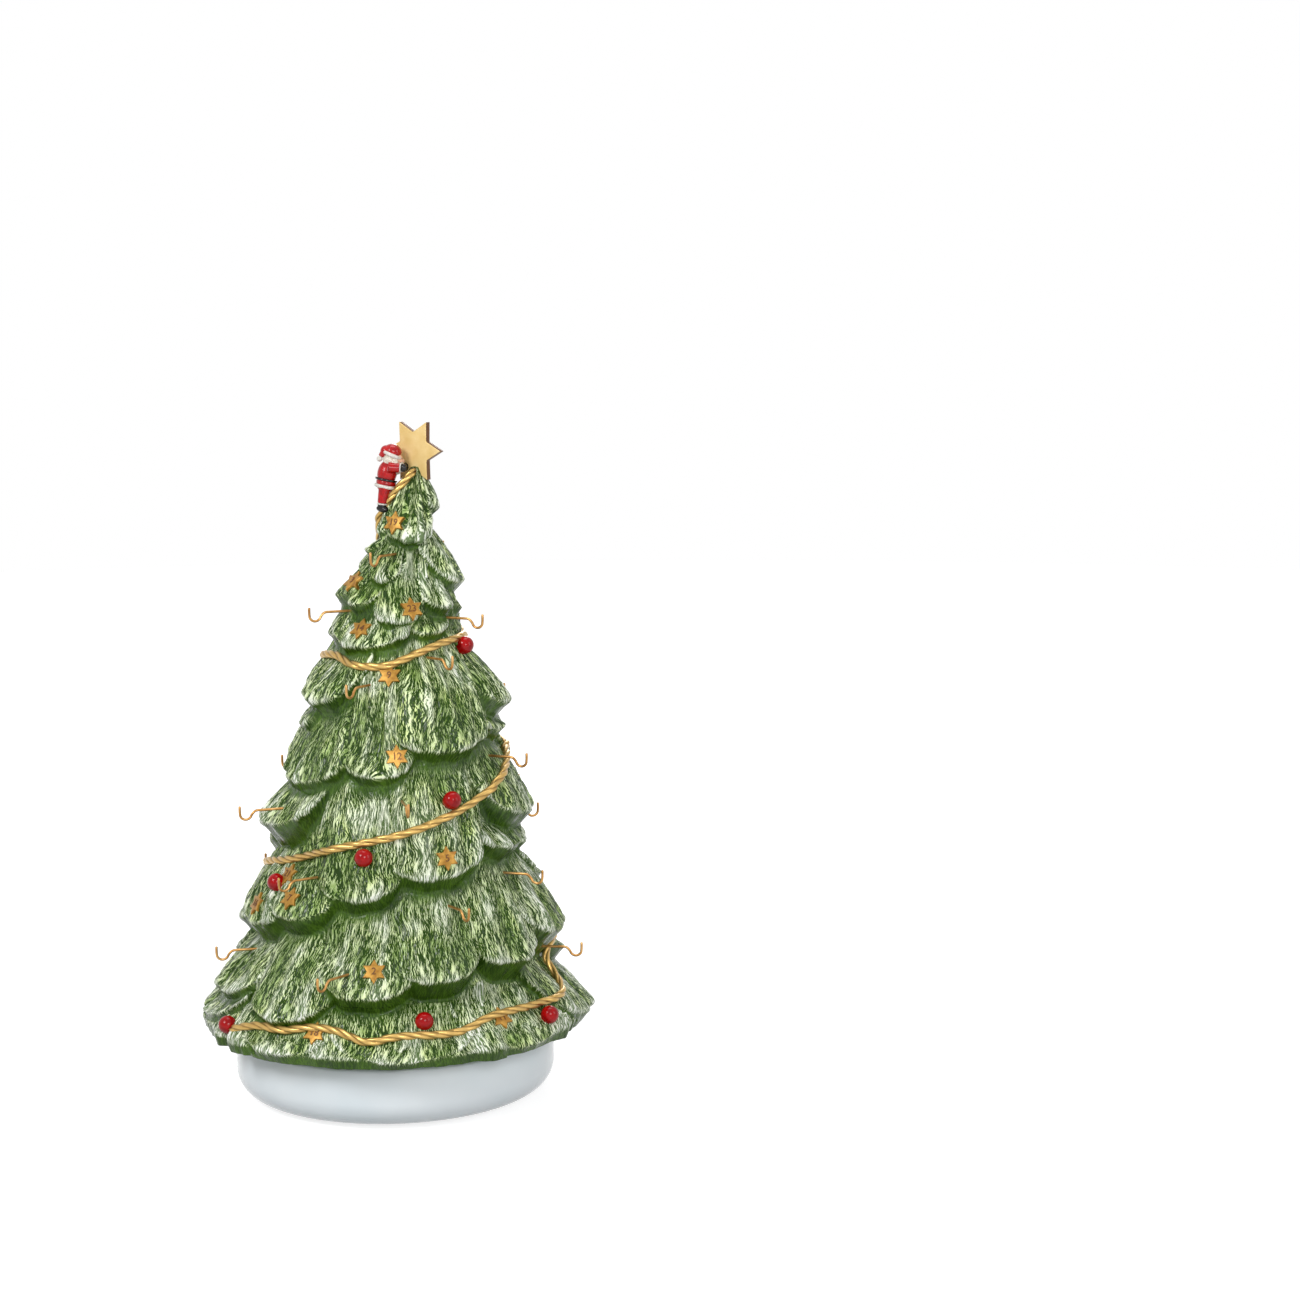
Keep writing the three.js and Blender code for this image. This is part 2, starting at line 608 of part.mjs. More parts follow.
function branchRadius(branch, azimuth, height, folding) {
  const across = Math.abs(turnFrom(azimuth, branch.azimuth)) / branch.halfWidth;
  if (across > BRANCH_SIDE_LIMIT) {
    return 0;
  }
  const spread = (across ** 2 + across ** 4) / 2;
  const edge = branch.height + branch.rise * spread;
  const start = branch.start + branch.rise * spread;
  const climb = clamp((height - edge) / (start - edge), 0, 1);
  const reach = branch.reach - branch.fall * spread + folding * foldLift(branch, azimuth, climb);
  return sectionRadius(height, edge, reach, branch.slope, start, UNDERCUT_SLOPE);
}

// Radius of the tree's outside from its middle, at an azimuth and a height
function treeRadius(azimuth, height) {
  const drawn = height / heightScale;
  const [rimHeight, rimReach, rimTop, rimUndercut] = RIM;
  const rimSlope = (rimReach - coreRadius(rimTop)) / (rimTop - rimHeight);
  const rim = sectionRadius(drawn, rimHeight, rimReach, rimSlope, rimTop, rimUndercut);
  const folding = foldShare(azimuth, drawn);
  const drawnRadius = branches.reduce(
    (radius, branch) => softMaximum(radius, branchRadius(branch, azimuth, drawn, folding), BRANCH_BLEND),
    softMaximum(coreRadius(drawn), rim, BRANCH_BLEND),
  );
  return drawnRadius * reachScale;
}

function treePoint(azimuth, height, radius) {
  const angle = radians(azimuth);
  return new THREE.Vector3(
    leanAt(height) + radius * Math.sin(angle),
    -radius * Math.cos(angle),
    treeUnderside + height,
  );
}

function surfacePoint(azimuth, height) {
  return treePoint(azimuth, height, treeRadius(azimuth, height));
}

function surfaceNormal(azimuth, height, span) {
  const around = surfacePoint(azimuth + span, height).sub(surfacePoint(azimuth - span, height));
  const upward = surfacePoint(azimuth, height + span).sub(surfacePoint(azimuth, height - span));
  return around.cross(upward).normalize();
}

// Heights of one column of the tree's skin, each row moved to a nearby edge or hollow
function columnHeights(azimuth) {
  const rows = Math.round((TREE_HEIGHT - SKIRT_FLOOR) / TREE_ROW_STEP);
  const step = (TREE_HEIGHT - SKIRT_FLOOR) / rows;
  const heights = Array.from({ length: rows }, (_, row) => SKIRT_FLOOR + row * step);
  const probe = 1;
  for (let height = SKIRT_FLOOR + step / 2; height < TREE_HEIGHT - step; height += probe) {
    const before = treeRadius(azimuth, height) - treeRadius(azimuth, height - probe);
    const after = treeRadius(azimuth, height + probe) - treeRadius(azimuth, height);
    if (before * after < 0) {
      const row = clamp(Math.round((height - SKIRT_FLOOR) / step), 1, rows - 1);
      heights[row] = height;
    }
  }
  return heights;
}

const treeColumns = Array.from({ length: TREE_COLUMNS }, (_, column) => {
  const azimuth = 360 * column / TREE_COLUMNS;
  return { azimuth, heights: columnHeights(azimuth) };
});

function columnRadius({ azimuth, heights }, height) {
  const levels = [...heights, TREE_HEIGHT];
  const upper = clamp(levels.findIndex((level) => level > height), 1, levels.length - 1);
  const [low, high] = [levels[upper - 1], levels[upper]];
  const [lowRadius, highRadius] = [treeRadius(azimuth, low), treeRadius(azimuth, high)];
  return lowRadius + (highRadius - lowRadius) * (height - low) / (high - low);
}

// Radius of the flat facets between the points of the skin
function facetRadius(azimuth, height) {
  const turns = azimuth / 360 - Math.floor(azimuth / 360);
  const column = Math.floor(turns * TREE_COLUMNS);
  const share = turns * TREE_COLUMNS - column;
  const first = columnRadius(treeColumns[column % TREE_COLUMNS], height);
  const second = columnRadius(treeColumns[(column + 1) % TREE_COLUMNS], height);
  return first + (second - first) * share;
}

// Triangles between rings of points, with a point to close each end
function closedRings(rings, firstEnd, lastEnd) {
  const count = rings[0].length;
  const points = [firstEnd, ...rings.flat(), lastEnd];
  const triangles = [];
  const place = (row, column) => 1 + row * count + column % count;
  for (let column = 0; column < count; column += 1) {
    triangles.push(0, place(0, column + 1), place(0, column));
    triangles.push(points.length - 1, place(rings.length - 1, column), place(rings.length - 1, column + 1));
  }
  for (let row = 0; row + 1 < rings.length; row += 1) {
    for (let column = 0; column < count; column += 1) {
      const [a, b] = [place(row, column), place(row, column + 1)];
      const [c, d] = [place(row + 1, column + 1), place(row + 1, column)];
      if (points[a].distanceTo(points[c]) < points[b].distanceTo(points[d])) {
        triangles.push(a, b, c, a, c, d);
      } else {
        triangles.push(a, b, d, b, c, d);
      }
    }
  }
  const geometry = new THREE.BufferGeometry();
  const numbers = points.flatMap((point) => point.toArray());
  geometry.setAttribute('position', new THREE.Float32BufferAttribute(numbers, 3));
  geometry.setIndex(triangles);
  return geometry;
}

// The outside of the tree as a full solid down to its underside, grown by a gap
function treeBody(gap) {
  const skirtEdge = treeColumns.map(({ azimuth }) => treePoint(azimuth, 0, TREE_REACH - SKIRT_WIDTH + gap));
  const rows = treeColumns[0].heights.map((_, row) => treeColumns.map(({ azimuth, heights }) => {
    const height = heights[row];
    return treePoint(azimuth, height, treeRadius(azimuth, height) + gap);
  }));
  skirtEdge.forEach((point) => point.setZ(treeUnderside - gap));
  const underside = new THREE.Vector3(0, 0, treeUnderside - gap);
  const apex = treePoint(0, TREE_HEIGHT + gap, 0);
  return solidOf(closedRings([skirtEdge, ...rows], underside, apex));
}

// The hollow stays a wall inside the lowest parts of the skin around it
function hollowRadius(azimuth, height) {
  const turn = HOLLOW_FOLLOW * 180 / HOLLOW_COLUMNS;
  const drop = HOLLOW_FOLLOW * hollowTop / HOLLOW_ROWS;
  const levels = [-drop, -drop / 2, 0, drop / 2, drop].map((step) => Math.max(height + step, 0));
  const around = [-turn, 0, turn].flatMap((side) => (
    levels.map((level) => treeRadius(azimuth + side, level))
  ));
  return Math.min(...around) - TREE_WALL;
}

function treeHollow() {
  const columns = Array.from({ length: HOLLOW_COLUMNS }, (_, column) => 360 * column / HOLLOW_COLUMNS);
  const heights = Array.from({ length: HOLLOW_ROWS + 1 }, (_, row) => hollowTop * row / HOLLOW_ROWS);
  const mouthRadius = FOOT_INNER_RADIUS / Math.cos(Math.PI / HOLLOW_COLUMNS);
  const mouthBottom = footBottom - SEAT_GAP;
  const mouthLow = columns.map((azimuth) => treePoint(azimuth, 0, mouthRadius).setZ(mouthBottom));
  const mouthHigh = columns.map((azimuth) => treePoint(azimuth, TREE_WALL, mouthRadius));
  const rows = heights.slice(1).map((height) => columns.map((azimuth) => {
    const shoulder = mouthRadius + (height - TREE_WALL) * HOLLOW_SHOULDER_SLOPE;
    return treePoint(azimuth, height, Math.min(hollowRadius(azimuth, height), shoulder));
  }));
  const bottom = new THREE.Vector3(0, 0, mouthBottom);
  const top = treePoint(0, hollowTop + TREE_WALL, 0);
  return solidOf(closedRings([mouthLow, mouthHigh, ...rows], bottom, top));
}

function starShape(radius) {
  const shape = new THREE.Shape();
  for (let corner = 0; corner < 12; corner += 1) {
    const angle = Math.PI * corner / 6;
    const reach = corner % 2 === 0 ? radius : radius * STAR_INNER_SHARE;
    const [x, y] = [reach * Math.cos(angle), reach * Math.sin(angle)];
    if (corner === 0) {
      shape.moveTo(x, y);
    } else {
      shape.lineTo(x, y);
    }
  }
  shape.closePath();
  return shape;
}

function starPrism(radius, depth) {
  return new THREE.ExtrudeGeometry(starShape(radius), { depth, bevelEnabled: false });
}

// A numbered star lies on the slope of its branch and is rooted in it
function numberStar([azimuth, height], gap) {
  const prism = starPrism(STAR_RADIUS + gap, STAR_ROOT + STAR_RELIEF + gap);
  prism.rotateZ(Math.PI / 6);
  prism.translate(0, 0, -STAR_ROOT);
  const outward = surfaceNormal(azimuth, height, STAR_RADIUS / 2);
  const side = new THREE.Vector3(0, 0, 1).cross(outward).normalize();
  const up = outward.clone().cross(side);
  prism.applyMatrix4(new THREE.Matrix4().makeBasis(side, up, outward));
  const middle = surfacePoint(azimuth, height);
  return solidOf(prism.translate(middle.x, middle.y, middle.z));
}

// Straight stem, a shoulder down, and a round bend up to the tip, in the plane of the hook
function hookCurve() {
  const bendMiddle = HOOK_STEM_LENGTH + HOOK_SHOULDER + HOOK_BEND_RADIUS;
  const bendHeight = HOOK_BEND_RADIUS - HOOK_DROP;
  const points = [
    [-HOOK_SEAT_DEPTH, 0],
    [HOOK_STEM_LENGTH, 0],
    ...HOOK_BEND_ANGLES.map((degrees) => [
      bendMiddle + HOOK_BEND_RADIUS * Math.cos(radians(degrees)),
      bendHeight + HOOK_BEND_RADIUS * Math.sin(radians(degrees)),
    ]),
    [bendMiddle + HOOK_BEND_RADIUS, HOOK_TIP_RISE - HOOK_DROP],
  ];
  return points.map(([along, up]) => new THREE.Vector3(along, 0, up));
}

// A wire of flat sides swept through points that lie in one upright plane
function wireThrough(points, radius, sides) {
  const rings = points.map((point, index) => {
    const before = points[Math.max(index - 1, 0)];
    const after = points[Math.min(index + 1, points.length - 1)];
    const along = after.clone().sub(before).normalize();
    const side = new THREE.Vector3(0, 1, 0);
    const up = along.clone().cross(side);
    return Array.from({ length: sides }, (_, corner) => {
      const angle = 2 * Math.PI * corner / sides;
      return point.clone()
        .addScaledVector(side, radius * Math.cos(angle))
        .addScaledVector(up, radius * Math.sin(angle));
    });
  });
  return closedRings(rings, points[0].clone(), points[points.length - 1].clone());
}

function placeHook(geometry, [azimuth, height, heading]) {
  const root = surfacePoint(azimuth, height);
  geometry.rotateZ(radians(heading - 90));
  return geometry.translate(root.x, root.y, root.z);
}

function makeHook(hook) {
  return placeHook(wireThrough(hookCurve(), HOOK_WIRE_RADIUS, HOOK_SIDES), hook);
}

function hookHole(hook) {
  const radius = HOOK_WIRE_RADIUS + HOOK_HOLE_GAP;
  const depth = HOOK_SEAT_DEPTH + SEAT_GAP;
  const hole = new THREE.CylinderGeometry(radius, radius, depth + HOOK_HOLE_REACH, HOOK_SIDES);
  hole.rotateZ(Math.PI / 2);
  hole.translate((HOOK_HOLE_REACH - depth) / 2, 0, 0);
  return solidOf(placeHook(hole, hook));
}

const fullTree = treeBody(0);
const grownTree = join([treeBody(GLAZE_GAP), ...numberStars.map((star) => numberStar(star, GLAZE_GAP))]);

function makeTreeShell() {
  const foot = solidOf(ring(FOOT_OUTER_RADIUS, 0, footBottom, treeUnderside + TREE_WALL, WIDE_SIDES));
  const body = join([fullTree, foot, ...numberStars.map((star) => numberStar(star, 0))]);
  return geometryOf(cut(body, [treeHollow(), ...hooks.map(hookHole)]));
}

// The garland lies on the facets of the skin, and bridges the hollows under the branch edges
function garlandCurve() {
  const route = new THREE.CatmullRomCurve3(
    garlandPath.map(([azimuth, height]) => new THREE.Vector3(azimuth, height, 0)),
    false,
    'centripetal',
  );
  const samples = route.getPoints(GARLAND_SAMPLES).map(({ x, y }) => {
    return [x, y, Math.max(treeRadius(x, y), facetRadius(x, y))];
  });
  const points = samples.map(([azimuth, height, radius], index) => {
    const near = samples.slice(Math.max(index - GARLAND_SMOOTHING, 0), index + GARLAND_SMOOTHING + 1);
    const mean = near.reduce((sum, sample) => sum + sample[2], 0) / near.length;
    return treePoint(azimuth, height, Math.max(mean, radius) + GARLAND_STAND);
  });
  return new THREE.CatmullRomCurve3(points);
}

const garlandRoute = garlandCurve();

function garlandTube(radius) {
  const steps = Math.round(garlandRoute.getLength() / GARLAND_STEP);
  const section = new THREE.Shape(Array.from({ length: GARLAND_SIDES }, (_, corner) => {
    const angle = 2 * Math.PI * corner / GARLAND_SIDES;
    return new THREE.Vector2(radius * Math.cos(angle), radius * Math.sin(angle));
  }));
  const options = { steps, extrudePath: garlandRoute, bevelEnabled: false };
  return solidOf(new THREE.ExtrudeGeometry(section, options));
}

const grownGarland = garlandTube(GARLAND_RADIUS + SEAT_GAP);

function topStarPlate(gap) {
  const plate = starPrism(TOP_STAR_RADIUS + gap, TOP_STAR_THICKNESS + 2 * gap);
  plate.translate(0, 0, -TOP_STAR_THICKNESS / 2 - gap);
  plate.rotateX(Math.PI / 2);
  plate.rotateZ(radians(TOP_STAR_YAW));
  plate.translate(leanAt(TREE_HEIGHT), TOP_STAR_BACK, tipHeight + TOP_STAR_RISE);
  return solidOf(plate);
}

function makeTopStar() {
  return geometryOf(topStarPlate(0).subtract(grownTree));
}

function makeGarland() {
  return geometryOf(cut(garlandTube(GARLAND_RADIUS), [grownTree, topStarPlate(SEAT_GAP)]));
}

function makeRedBall([azimuth, height]) {
  const centre = treePoint(azimuth, height, treeRadius(azimuth, height) + RED_BALL_STAND);
  const ball = new THREE.SphereGeometry(RED_BALL_RADIUS, RED_BALL_COLUMNS, RED_BALL_ROWS);
  ball.rotateX(Math.PI / 2);
  ball.translate(centre.x, centre.y, centre.z);
  return geometryOf(cut(solidOf(ball), [grownTree, grownGarland]));
}

// An egg shape of the figure, by its middle and half sizes
function egg(middle, half, columns = 8, rows = 5) {
  const geometry = new THREE.SphereGeometry(1, columns, rows);
  geometry.rotateX(Math.PI / 2);
  geometry.scale(...half);
  return geometry.translate(...middle);
}

// A limb of the figure between two points, thicker at its start
function limb(start, end, startRadius, endRadius) {
  const [from, to] = [new THREE.Vector3(...start), new THREE.Vector3(...end)];
  const along = to.clone().sub(from);
  const geometry = new THREE.CylinderGeometry(endRadius, startRadius, along.length(), 6);
  geometry.translate(0, along.length() / 2, 0);
  const upright = new THREE.Vector3(0, 1, 0);
  geometry.applyQuaternion(new THREE.Quaternion().setFromUnitVectors(upright, along.normalize()));
  return geometry.translate(from.x, from.y, from.z);
}

const figureScale = FIGURE_HEIGHT / Math.max(...FIGURE_EGGS.map(([middle, half]) => middle[2] + half[2]));

function figureShapes() {
  return [
    ...FIGURE_EGGS.map(([middle, half]) => egg(middle, half)),
    ...FIGURE_HANDS_AND_BOOTS.map(([middle, half]) => egg(middle, half, 6, 4)),
    ...FIGURE_LIMBS.map(([start, end, startRadius, endRadius]) => limb(start, end, startRadius, endRadius)),
  ];
}

function makeClimbingFigure() {
  const feetHeight = TREE_HEIGHT - FIGURE_DROP;
  const feetRadius = treeRadius(FIGURE_AZIMUTH, feetHeight) + FIGURE_STAND;
  const feet = treePoint(FIGURE_AZIMUTH, feetHeight, feetRadius);
  const shapes = figureShapes().map((shape) => {
    shape.scale(figureScale, figureScale, figureScale);
    shape.rotateY(radians(FIGURE_LEAN));
    shape.rotateZ(radians(FIGURE_YAW));
    return solidOf(shape.translate(feet.x, feet.y, feet.z));
  });
  return geometryOf(cut(join(shapes), [grownTree, grownGarland, topStarPlate(SEAT_GAP)]));
}

const model = new THREE.Group();

function place(name, geometry, material) {
  const mesh = new THREE.Mesh(geometry, material);
  mesh.name = name;
  model.add(mesh);
}

function counted(name, index) {
  return `${name}_${String(index + 1).padStart(2, '0')}`;
}

place('felt_pad', makeFeltPad(), felt);
place('base_plate', makeBasePlate(), zincSteel);
for (let index = 0; index < SCREW_COUNT; index += 1) {
  place(counted('plate_screw', index), makePlateScrew(index), zincSteel);
}
place('base_drum', makeBaseDrum(), whiteGlaze);
place('lower_race', makeRace(lowerRaceBottom, 1), zincSteel);
place('pivot_bolt', makePivotBolt(), blackSteel);
place('pivot_washer', makePivotWasher(), zincSteel);
place('pivot_nut', makePivotNut(), zincSteel);
place('ball_cage', makeBallCage(), nylon);
for (let index = 0; index < BEARING_BALL_COUNT; index += 1) {
  place(counted('bearing_ball', index), makeBearingBall(index), zincSteel);
}
place('upper_race', makeRace(upperRaceTop, -1), zincSteel);
place('turn_disc', makeTurnDisc(), zincSteel);
place('pivot_bush', makePivotBush(), nylon);
place('grip_ring', makeGripRing(), rubber);
place('tree_shell', makeTreeShell(), greenGlaze);
place('top_star', makeTopStar(), goldGlaze);
place('climbing_figure', makeClimbingFigure(), redGlaze);
place('garland', makeGarland(), goldGlaze);
redBalls.forEach((ball, index) => place(counted('red_ball', index), makeRedBall(ball), redGlaze));
hooks.forEach((hook, index) => place(counted('hook', index), makeHook(hook), brass));

export default model;
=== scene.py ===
"""A porcelain Christmas tree that turns on a white base, dressed for its picture.

Sizes are in millimetres and heights are above the tree's underside, unless a name ends in _M.
Azimuths are in degrees from the front, -Y, and grow towards +X.
"""

import math

import bmesh
import bpy
import numpy as np
from mathutils import Matrix, Vector


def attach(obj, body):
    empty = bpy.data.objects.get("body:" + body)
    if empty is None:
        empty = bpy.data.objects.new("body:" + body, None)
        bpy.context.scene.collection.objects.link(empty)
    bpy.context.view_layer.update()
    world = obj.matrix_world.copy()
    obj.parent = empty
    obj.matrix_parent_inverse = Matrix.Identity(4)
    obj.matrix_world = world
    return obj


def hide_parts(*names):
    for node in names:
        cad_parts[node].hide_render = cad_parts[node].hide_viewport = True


bl_info = {
    "name": "Porcelain Advent Tree",
    "version": (1, 0, 0),
    "blender": (4, 5, 0),
    "location": "3D View > Sidebar > Advent Tree",
    "description": "Builds a glazed porcelain Christmas tree with its rope, hooks, stars and figure",
    "category": "Object",
}

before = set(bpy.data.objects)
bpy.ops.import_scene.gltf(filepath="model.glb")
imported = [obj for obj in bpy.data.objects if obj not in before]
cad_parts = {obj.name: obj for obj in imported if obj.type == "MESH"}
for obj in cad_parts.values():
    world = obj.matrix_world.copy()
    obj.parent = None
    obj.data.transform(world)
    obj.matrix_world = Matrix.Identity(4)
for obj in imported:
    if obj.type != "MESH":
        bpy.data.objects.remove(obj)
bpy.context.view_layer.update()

MM = 0.001

# The base, with its heights above the table
UNDERSIDE = 46.0
FELT_TOP = 2.0
DRUM_BOTTOM = 2.3
DRUM_TOP = 45.0
DRUM_RADIUS = 112.0
WELL_RADIUS = 87.0
WELL_FLOOR = 26.4
WELL_UNDERSIDE = 21.4
PLATE_OPENING = 84.3
FOOT_BOTTOM = 43.5
FOOT_RADII = (74.0, 83.0)
SKIRT_RADIUS = 115.0
FELT_RADIUS, FELT_BEVEL = 90.0, 0.5
FOOT_FILLET, TOP_FILLET = 18.0, 3.0
WELL_LIP, WELL_LIP_DEPTH = 0.8, 0.5
BOSS_COUNT, BOSS_RING_RADIUS, BOSS_RADIUS, BOSS_BOTTOM, BOSS_ROOT = 3, 56.0, 6.0, 6.6, 2.0
BOLT_BORE, SCREW_BORE, SCREW_BORE_ENDS, CUT_OVERRUN = 4.3, 2.3, (4.0, 15.6), 1.0
DRUM_SIDES, FELT_SIDES, BOSS_SIDES = 192, 128, 48

# The tree, its lean, its rim and the folds of its branches
TREE_HEIGHT = 395.0
TREE_WALL = 5.0
SKIRT_FLOOR = 4.0
LOWER_LEAN, LOWER_LEAN_HEIGHT = 7.5, 234.0
TIP_LEAN, TIP_LEAN_START, TIP_LEAN_POWER = 13.0, 284.0, 1.5
RIM_HEIGHT, RIM_REACH, RIM_TOP, RIM_UNDERCUT = 12.0, 134.0, 46.0, 0.3
EDGE_RISE, EDGE_FALL = 0.36, 0.85
UNDERCUT = 0.85
EDGE_ROUNDING = 2.4
BRANCH_BLEND = 3.0
BRANCH_BULGE = 0.05
BRANCH_SIDE_LIMIT = 1.6
FOLD_TURN, WIDE_FOLD_TURN, WIDE_FOLD_REACH = 12.0, 24.0, 60.0
FOLD_HEIGHT, FOLD_EDGE_SHARE, FOLD_SWELL, FOLD_FADE, CREASE_SHARPNESS = 3.0, 0.6, 3.0, 1.5, 1.15
FOLD_EVENNESS, FOLD_UNEVENNESS = 0.75, 0.5
STAR_CALM = (7.0, 15.0)
NOISE_DRUM_RADIUS = 80.0

# Radius of the trunk of needles that the branches grow from, by height
CORE_PROFILE = np.array([
    (0, 114), (20, 112), (50, 103), (66, 96), (122, 84), (134, 79), (176, 75), (208, 64),
    (231, 59), (268, 46), (304, 35), (357, 12.5), (386, 4.5), (395, 0.5),
])

# Branch tips: azimuth, half width in degrees, height of the tip, reach, height where the branch starts
BRANCHES = np.array([
    (8, 62, 346, 23.5, 398), (88, 36, 366, 20.5, 398), (-85, 38, 350, 20.5, 396), (160, 50, 352, 22, 398),
    (-25, 24, 320, 38, 341), (86, 46, 315.5, 43.5, 357), (-88, 28, 337, 28, 346),
    (146, 34, 325, 38, 344), (-148, 36, 319, 40, 342),
    (-84, 32, 307, 46, 330), (-46, 22, 303, 45, 319), (-1, 24, 292, 47.5, 332), (50, 26, 300, 45.5, 327),
    (104, 28, 294, 46, 307), (158, 32, 300, 46, 316), (-142, 34, 296, 47, 309),
    (-34, 46, 275, 51.5, 291), (-88, 32, 279, 49.5, 298), (28, 26, 283, 46, 291),
    (148, 40, 272, 51, 290), (-150, 38, 277, 51, 287), (96, 28, 281, 43, 286),
    (-67, 36, 237, 69, 266), (90, 36, 230.5, 76, 270), (145, 28, 242, 69, 263),
    (-122, 30, 243, 68, 266), (-172, 30, 235, 72, 264),
    (26, 37, 206, 76.5, 267), (77, 22, 213, 73.5, 223), (-90, 26, 217, 70.5, 230),
    (126, 30, 209, 75, 232), (-142, 34, 211, 74, 230),
    (-64, 36, 182.5, 82.5, 220), (-13, 20, 190, 79.5, 262), (168, 34, 184, 83, 224),
    (116, 26, 190, 81, 201), (-118, 30, 190, 81, 206),
    (-80, 38, 151, 96, 175), (77, 32, 156, 95.5, 202), (134, 30, 159, 93, 182),
    (-138, 30, 157, 93, 184), (-178, 26, 150, 95, 175),
    (16, 25, 123, 95.5, 195), (60, 22, 136, 93.5, 150), (90, 20, 131, 90, 146),
    (128, 26, 122, 97, 149), (-120, 28, 126, 97, 147),
    (-19, 21, 110.5, 100, 180), (160, 30, 106, 102, 142), (-162, 28, 112, 100, 143),
    (-76, 30, 84.5, 108.5, 133), (-46, 19, 95, 106.5, 132), (112, 28, 100, 106, 116),
    (82, 30, 71.5, 118.5, 121), (46, 18, 63, 117.5, 122), (14, 18, 58, 120, 112),
    (136, 28, 66, 119, 106), (-120, 28, 70, 118, 114), (-167, 30, 62, 120, 101),
    (-11, 19, 49, 123.5, 101), (-78, 26, 37, 127.5, 68), (-40, 18, 32, 130, 85),
    (-126, 26, 42, 127, 60), (162, 30, 40, 128, 54), (112, 24, 44, 126, 60),
    (88, 34, 11, 139.5, 46), (-86, 28, 18, 135.5, 36), (2, 26, 9, 136, 34), (-38, 20, 11, 136, 30),
    (44, 24, 9, 136.5, 34), (134, 26, 9, 137, 34), (-176, 26, 10, 136.5, 34), (-130, 26, 10, 136.5, 34),
])

# Numbered stars: azimuth, height and the day on each
NUMBER_STARS = [
    (-27, 357, 19), (-63, 317, 3), (10, 300, 23), (-37, 286, 14), (-8, 256, 9), (-2, 204, 12),
    (-56, 120, 21), (-47, 107, 7), (-70, 97, 16), (20, 136, 5), (-8, 66, 2), (-26, 25, 18),
    (35, 28, 11), (120, 338, 8), (-150, 300, 24), (150, 258, 1), (-120, 226, 13), (165, 206, 20),
    (105, 170, 6), (-140, 160, 17), (150, 118, 10), (-172, 110, 22), (-125, 60, 4), (128, 30, 15),
]
STAR_RADIUS, STAR_INNER_SHARE, STAR_RELIEF, STAR_ROOT, STAR_TURN = 8.6, 0.56, 1.5, 4.0, 30.0
STAR_BEVEL, TIP_STAR_BEVEL = 0.5, 0.7
NUMERAL_SIZE, NUMERAL_DEPTH, NUMERAL_BEVEL, NUMERAL_SINK = 6.8, 0.5, 0.06, 0.25

# Hooks: azimuth and height of the hole, and the azimuth that the hook points to
HOOKS = [
    (-16, 336, -35), (-62, 297, -72), (52, 292, 57), (22, 267, 38), (-21, 250, -36), (61, 196.5, 60),
    (-67, 163, -76), (1, 174, 8), (-38, 122, -60), (56, 117, 66), (21, 103.5, 28), (-73, 64, -80),
    (-17, 64, -42), (71, 61, 76), (-128, 181, -120), (116, 144.5, 108), (-130, 106.5, -118), (150, 316, 150),
    (-150, 262, -150), (122, 232, 122), (176, 182, 176), (-144, 140, -144), (136, 98, 136), (-168, 46, -168),
]
HOOK_RADIUS, HOOK_TIP_SHARE, HOOK_SIDES = 0.9, 0.55, 12
# A hook's wire in its own plane, outwards and up from the mouth of its hole
HOOK_STEM = [(-4.5, 0), (0, 0), (8, 0)]
HOOK_SHOULDER = [(15.6, 0), (16.6, -0.1), (17.5, -0.4), (18.3, -0.9), (19.1, -1.7), (19.7, -2.4)]
HOOK_BEND_MIDDLE, HOOK_BEND_RADIUS, HOOK_BEND_ANGLES = (24.1, -1.9), 4.1, range(196, 345, 8)
HOOK_TIP = [(28.2, -0.8), (28.25, 1.4), (28.2, 3.1), (28.2, 3.5)]

# Rope: azimuth, counted on through its turns, and height
ROPE_PATH = np.array([
    (4, 393), (-14, 391), (-50, 381), (-78, 369), (-102, 356), (-145, 336), (-190, 310), (-250, 276),
    (-280, 277.5), (-304, 277), (-322, 275.5), (-345, 270.5), (-360, 265.5), (-374, 262), (-400, 263),
    (-422, 267), (-470, 261), (-540, 238), (-600, 204), (-640, 193), (-660, 184), (-682, 170),
    (-698, 163), (-720, 153), (-744, 145), (-764, 136), (-775, 131), (-788, 126.5), (-806, 121),
    (-835, 109), (-852, 99), (-900, 85), (-930, 77), (-960, 67), (-985, 62), (-998, 58), (-1003, 50),
    (-1005, 40), (-1013, 32), (-1026, 30.5), (-1049, 31), (-1061, 25), (-1080, 25), (-1089, 22),
    (-1099, 28), (-1108, 28.5), (-1117, 25), (-1127, 25), (-1139, 18),
])
ROPE_RADIUS, ROPE_STRANDS, STRAND_SIDES = 2.9, 3, 8
ROPE_STAND = 1.5
ROPE_SAMPLES = 700
ROPE_SMOOTHING, ROPE_SOFTENING = 9, 4
ROPE_END_SHARE, ROPE_END_LENGTH = 0.15, 5.0
# Radii, as shares of the rope's radius, where the painted shading of the strands goes from groove shade to
# highlight
ROPE_LOBE_SHARES = (0.5, 0.96)

# Red balls: azimuth and height
RED_BALLS = [
    (66, 272), (25, 173.5), (-14.5, 139), (-60, 114.5), (8.5, 33), (54, 23), (-61, 20),
    (160, 295), (-170, 252), (-150, 103), (115, 56),
]
BALL_STAND = 3.0
BALL_SEAT_START, BALL_SEAT_SPREAD = 0.55, 0.55

# The star on the tip, and the figure that climbs to it
TOP_STAR_RADIUS, TOP_STAR_THICKNESS, TOP_STAR_SIDE_LIMIT = 23.2, 5.0, 0.3
TOP_STAR_RISE, TOP_STAR_BACK, TOP_STAR_YAW = 10.4, 2.5, -37.0
FIGURE_AZIMUTH, FIGURE_DROP, FIGURE_STAND, FIGURE_LEAN, FIGURE_YAW = -90.0, 31.0, 4.6, 12.0, -6.0

